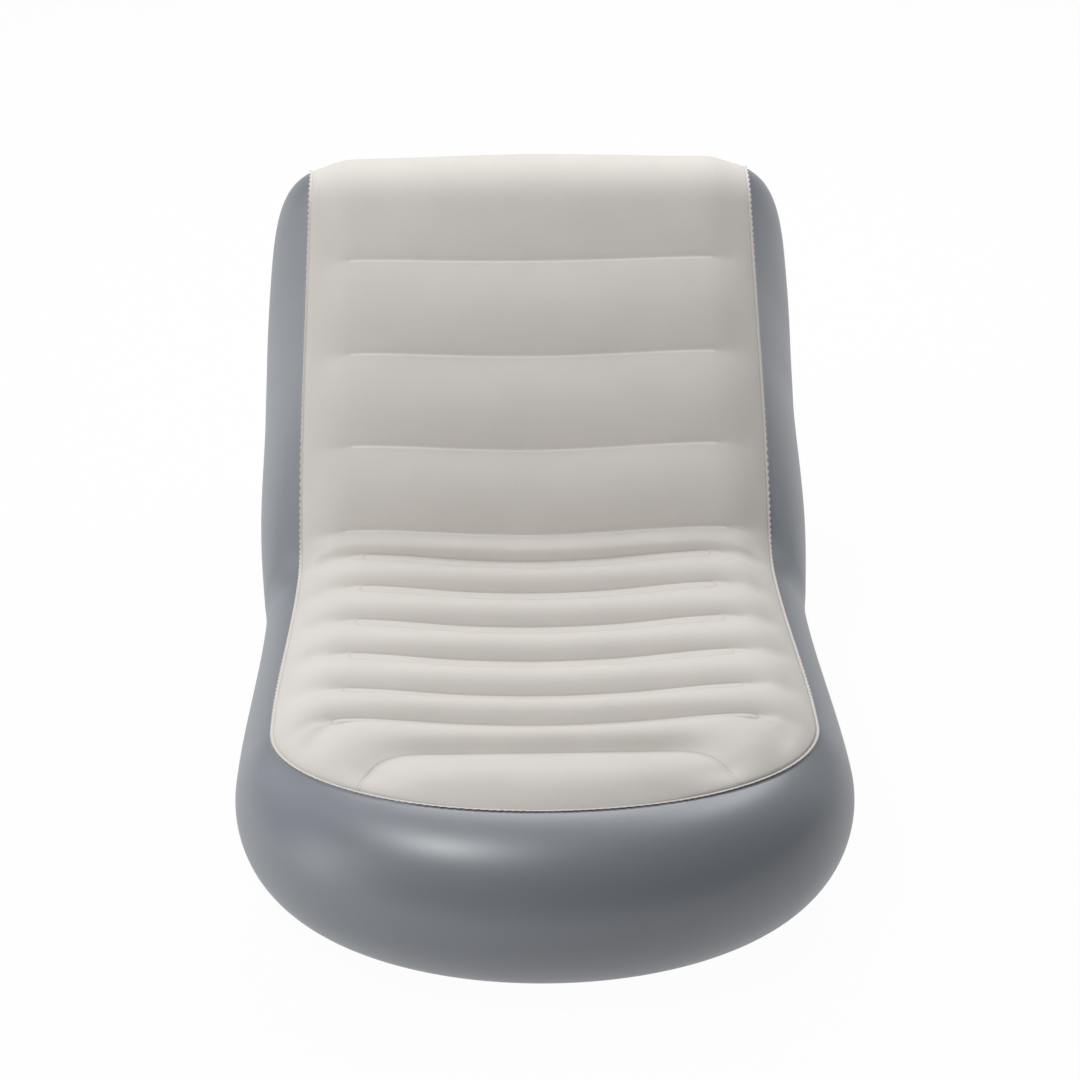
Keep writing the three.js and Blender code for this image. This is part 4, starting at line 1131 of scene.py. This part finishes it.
def pale_floor():
    """A wide floor that shows white to the camera and still takes the object's shadow."""
    mesh = bpy.data.meshes.new("floor")
    half = FLOOR_HALF * MM
    mesh.from_pydata([(-half, -half, 0), (half, -half, 0), (half, half, 0), (-half, half, 0)], [], [range(4)])
    floor = bpy.data.objects.new("floor", mesh)
    bpy.context.scene.collection.objects.link(floor)
    material = bpy.data.materials.new("floor")
    material.use_nodes = True
    tree = material.node_tree
    tree.nodes.clear()
    rays = add(tree, "ShaderNodeLightPath").outputs
    seen = calculated(tree, "MAXIMUM", rays["Is Camera Ray"], rays["Is Glossy Ray"])
    share = calculated(tree, "MULTIPLY", seen, FLOOR_WHITE_SHARE)
    matt = add(tree, "ShaderNodeBsdfDiffuse", {"Color": FLOOR_COLOR})
    white = add(tree, "ShaderNodeEmission", {"Color": WHITE, "Strength": 1.0})
    mixed = add(tree, "ShaderNodeMixShader", {0: share, 1: matt.outputs[0], 2: white.outputs[0]})
    add(tree, "ShaderNodeOutputMaterial", {"Surface": mixed.outputs[0]})
    mesh.materials.append(material)


def pale_world():
    """Soft light from all round, brighter in reflections, and plain white where the camera looks."""
    world = bpy.data.worlds.new("studio")
    bpy.context.scene.world = world
    world.use_nodes = True
    tree = world.node_tree
    tree.nodes.clear()
    rays = add(tree, "ShaderNodeLightPath").outputs
    ambient, gloss, white = (
        add(tree, "ShaderNodeBackground", {"Color": WHITE, "Strength": strength}).outputs[0]
        for strength in (AMBIENT, GLOSS_AMBIENT, 1.0)
    )
    lit = add(tree, "ShaderNodeMixShader", {0: rays["Is Glossy Ray"], 1: ambient, 2: gloss})
    mixed = add(tree, "ShaderNodeMixShader", {0: rays["Is Camera Ray"], 1: lit.outputs[0], 2: white})
    add(tree, "ShaderNodeOutputWorld", {"Surface": mixed.outputs[0]})


def make_camera():
    """The photograph's camera: it looks at TARGET from a little left of the front and above."""
    data = bpy.data.cameras.new("camera")
    data.sensor_width = SENSOR
    data.lens = LENS
    data.shift_x = CAMERA_SHIFT
    data.clip_end = CAMERA_REACH * MM
    camera = bpy.data.objects.new("camera", data)
    turn, rise = CAMERA_AZIMUTH, CAMERA_ELEVATION
    back = Vector((math.sin(turn) * math.cos(rise), -math.cos(turn) * math.cos(rise), math.sin(rise)))
    camera.location = TARGET + back * (CAMERA_DISTANCE * MM)
    camera.rotation_euler = back.to_track_quat("Z", "Y").to_euler()
    bpy.context.scene.collection.objects.link(camera)
    bpy.context.scene.camera = camera


for light in SOFTBOXES:
    softbox(*light)
pale_floor()
pale_world()
make_camera()
bpy.context.scene.view_settings.view_transform = "Standard"
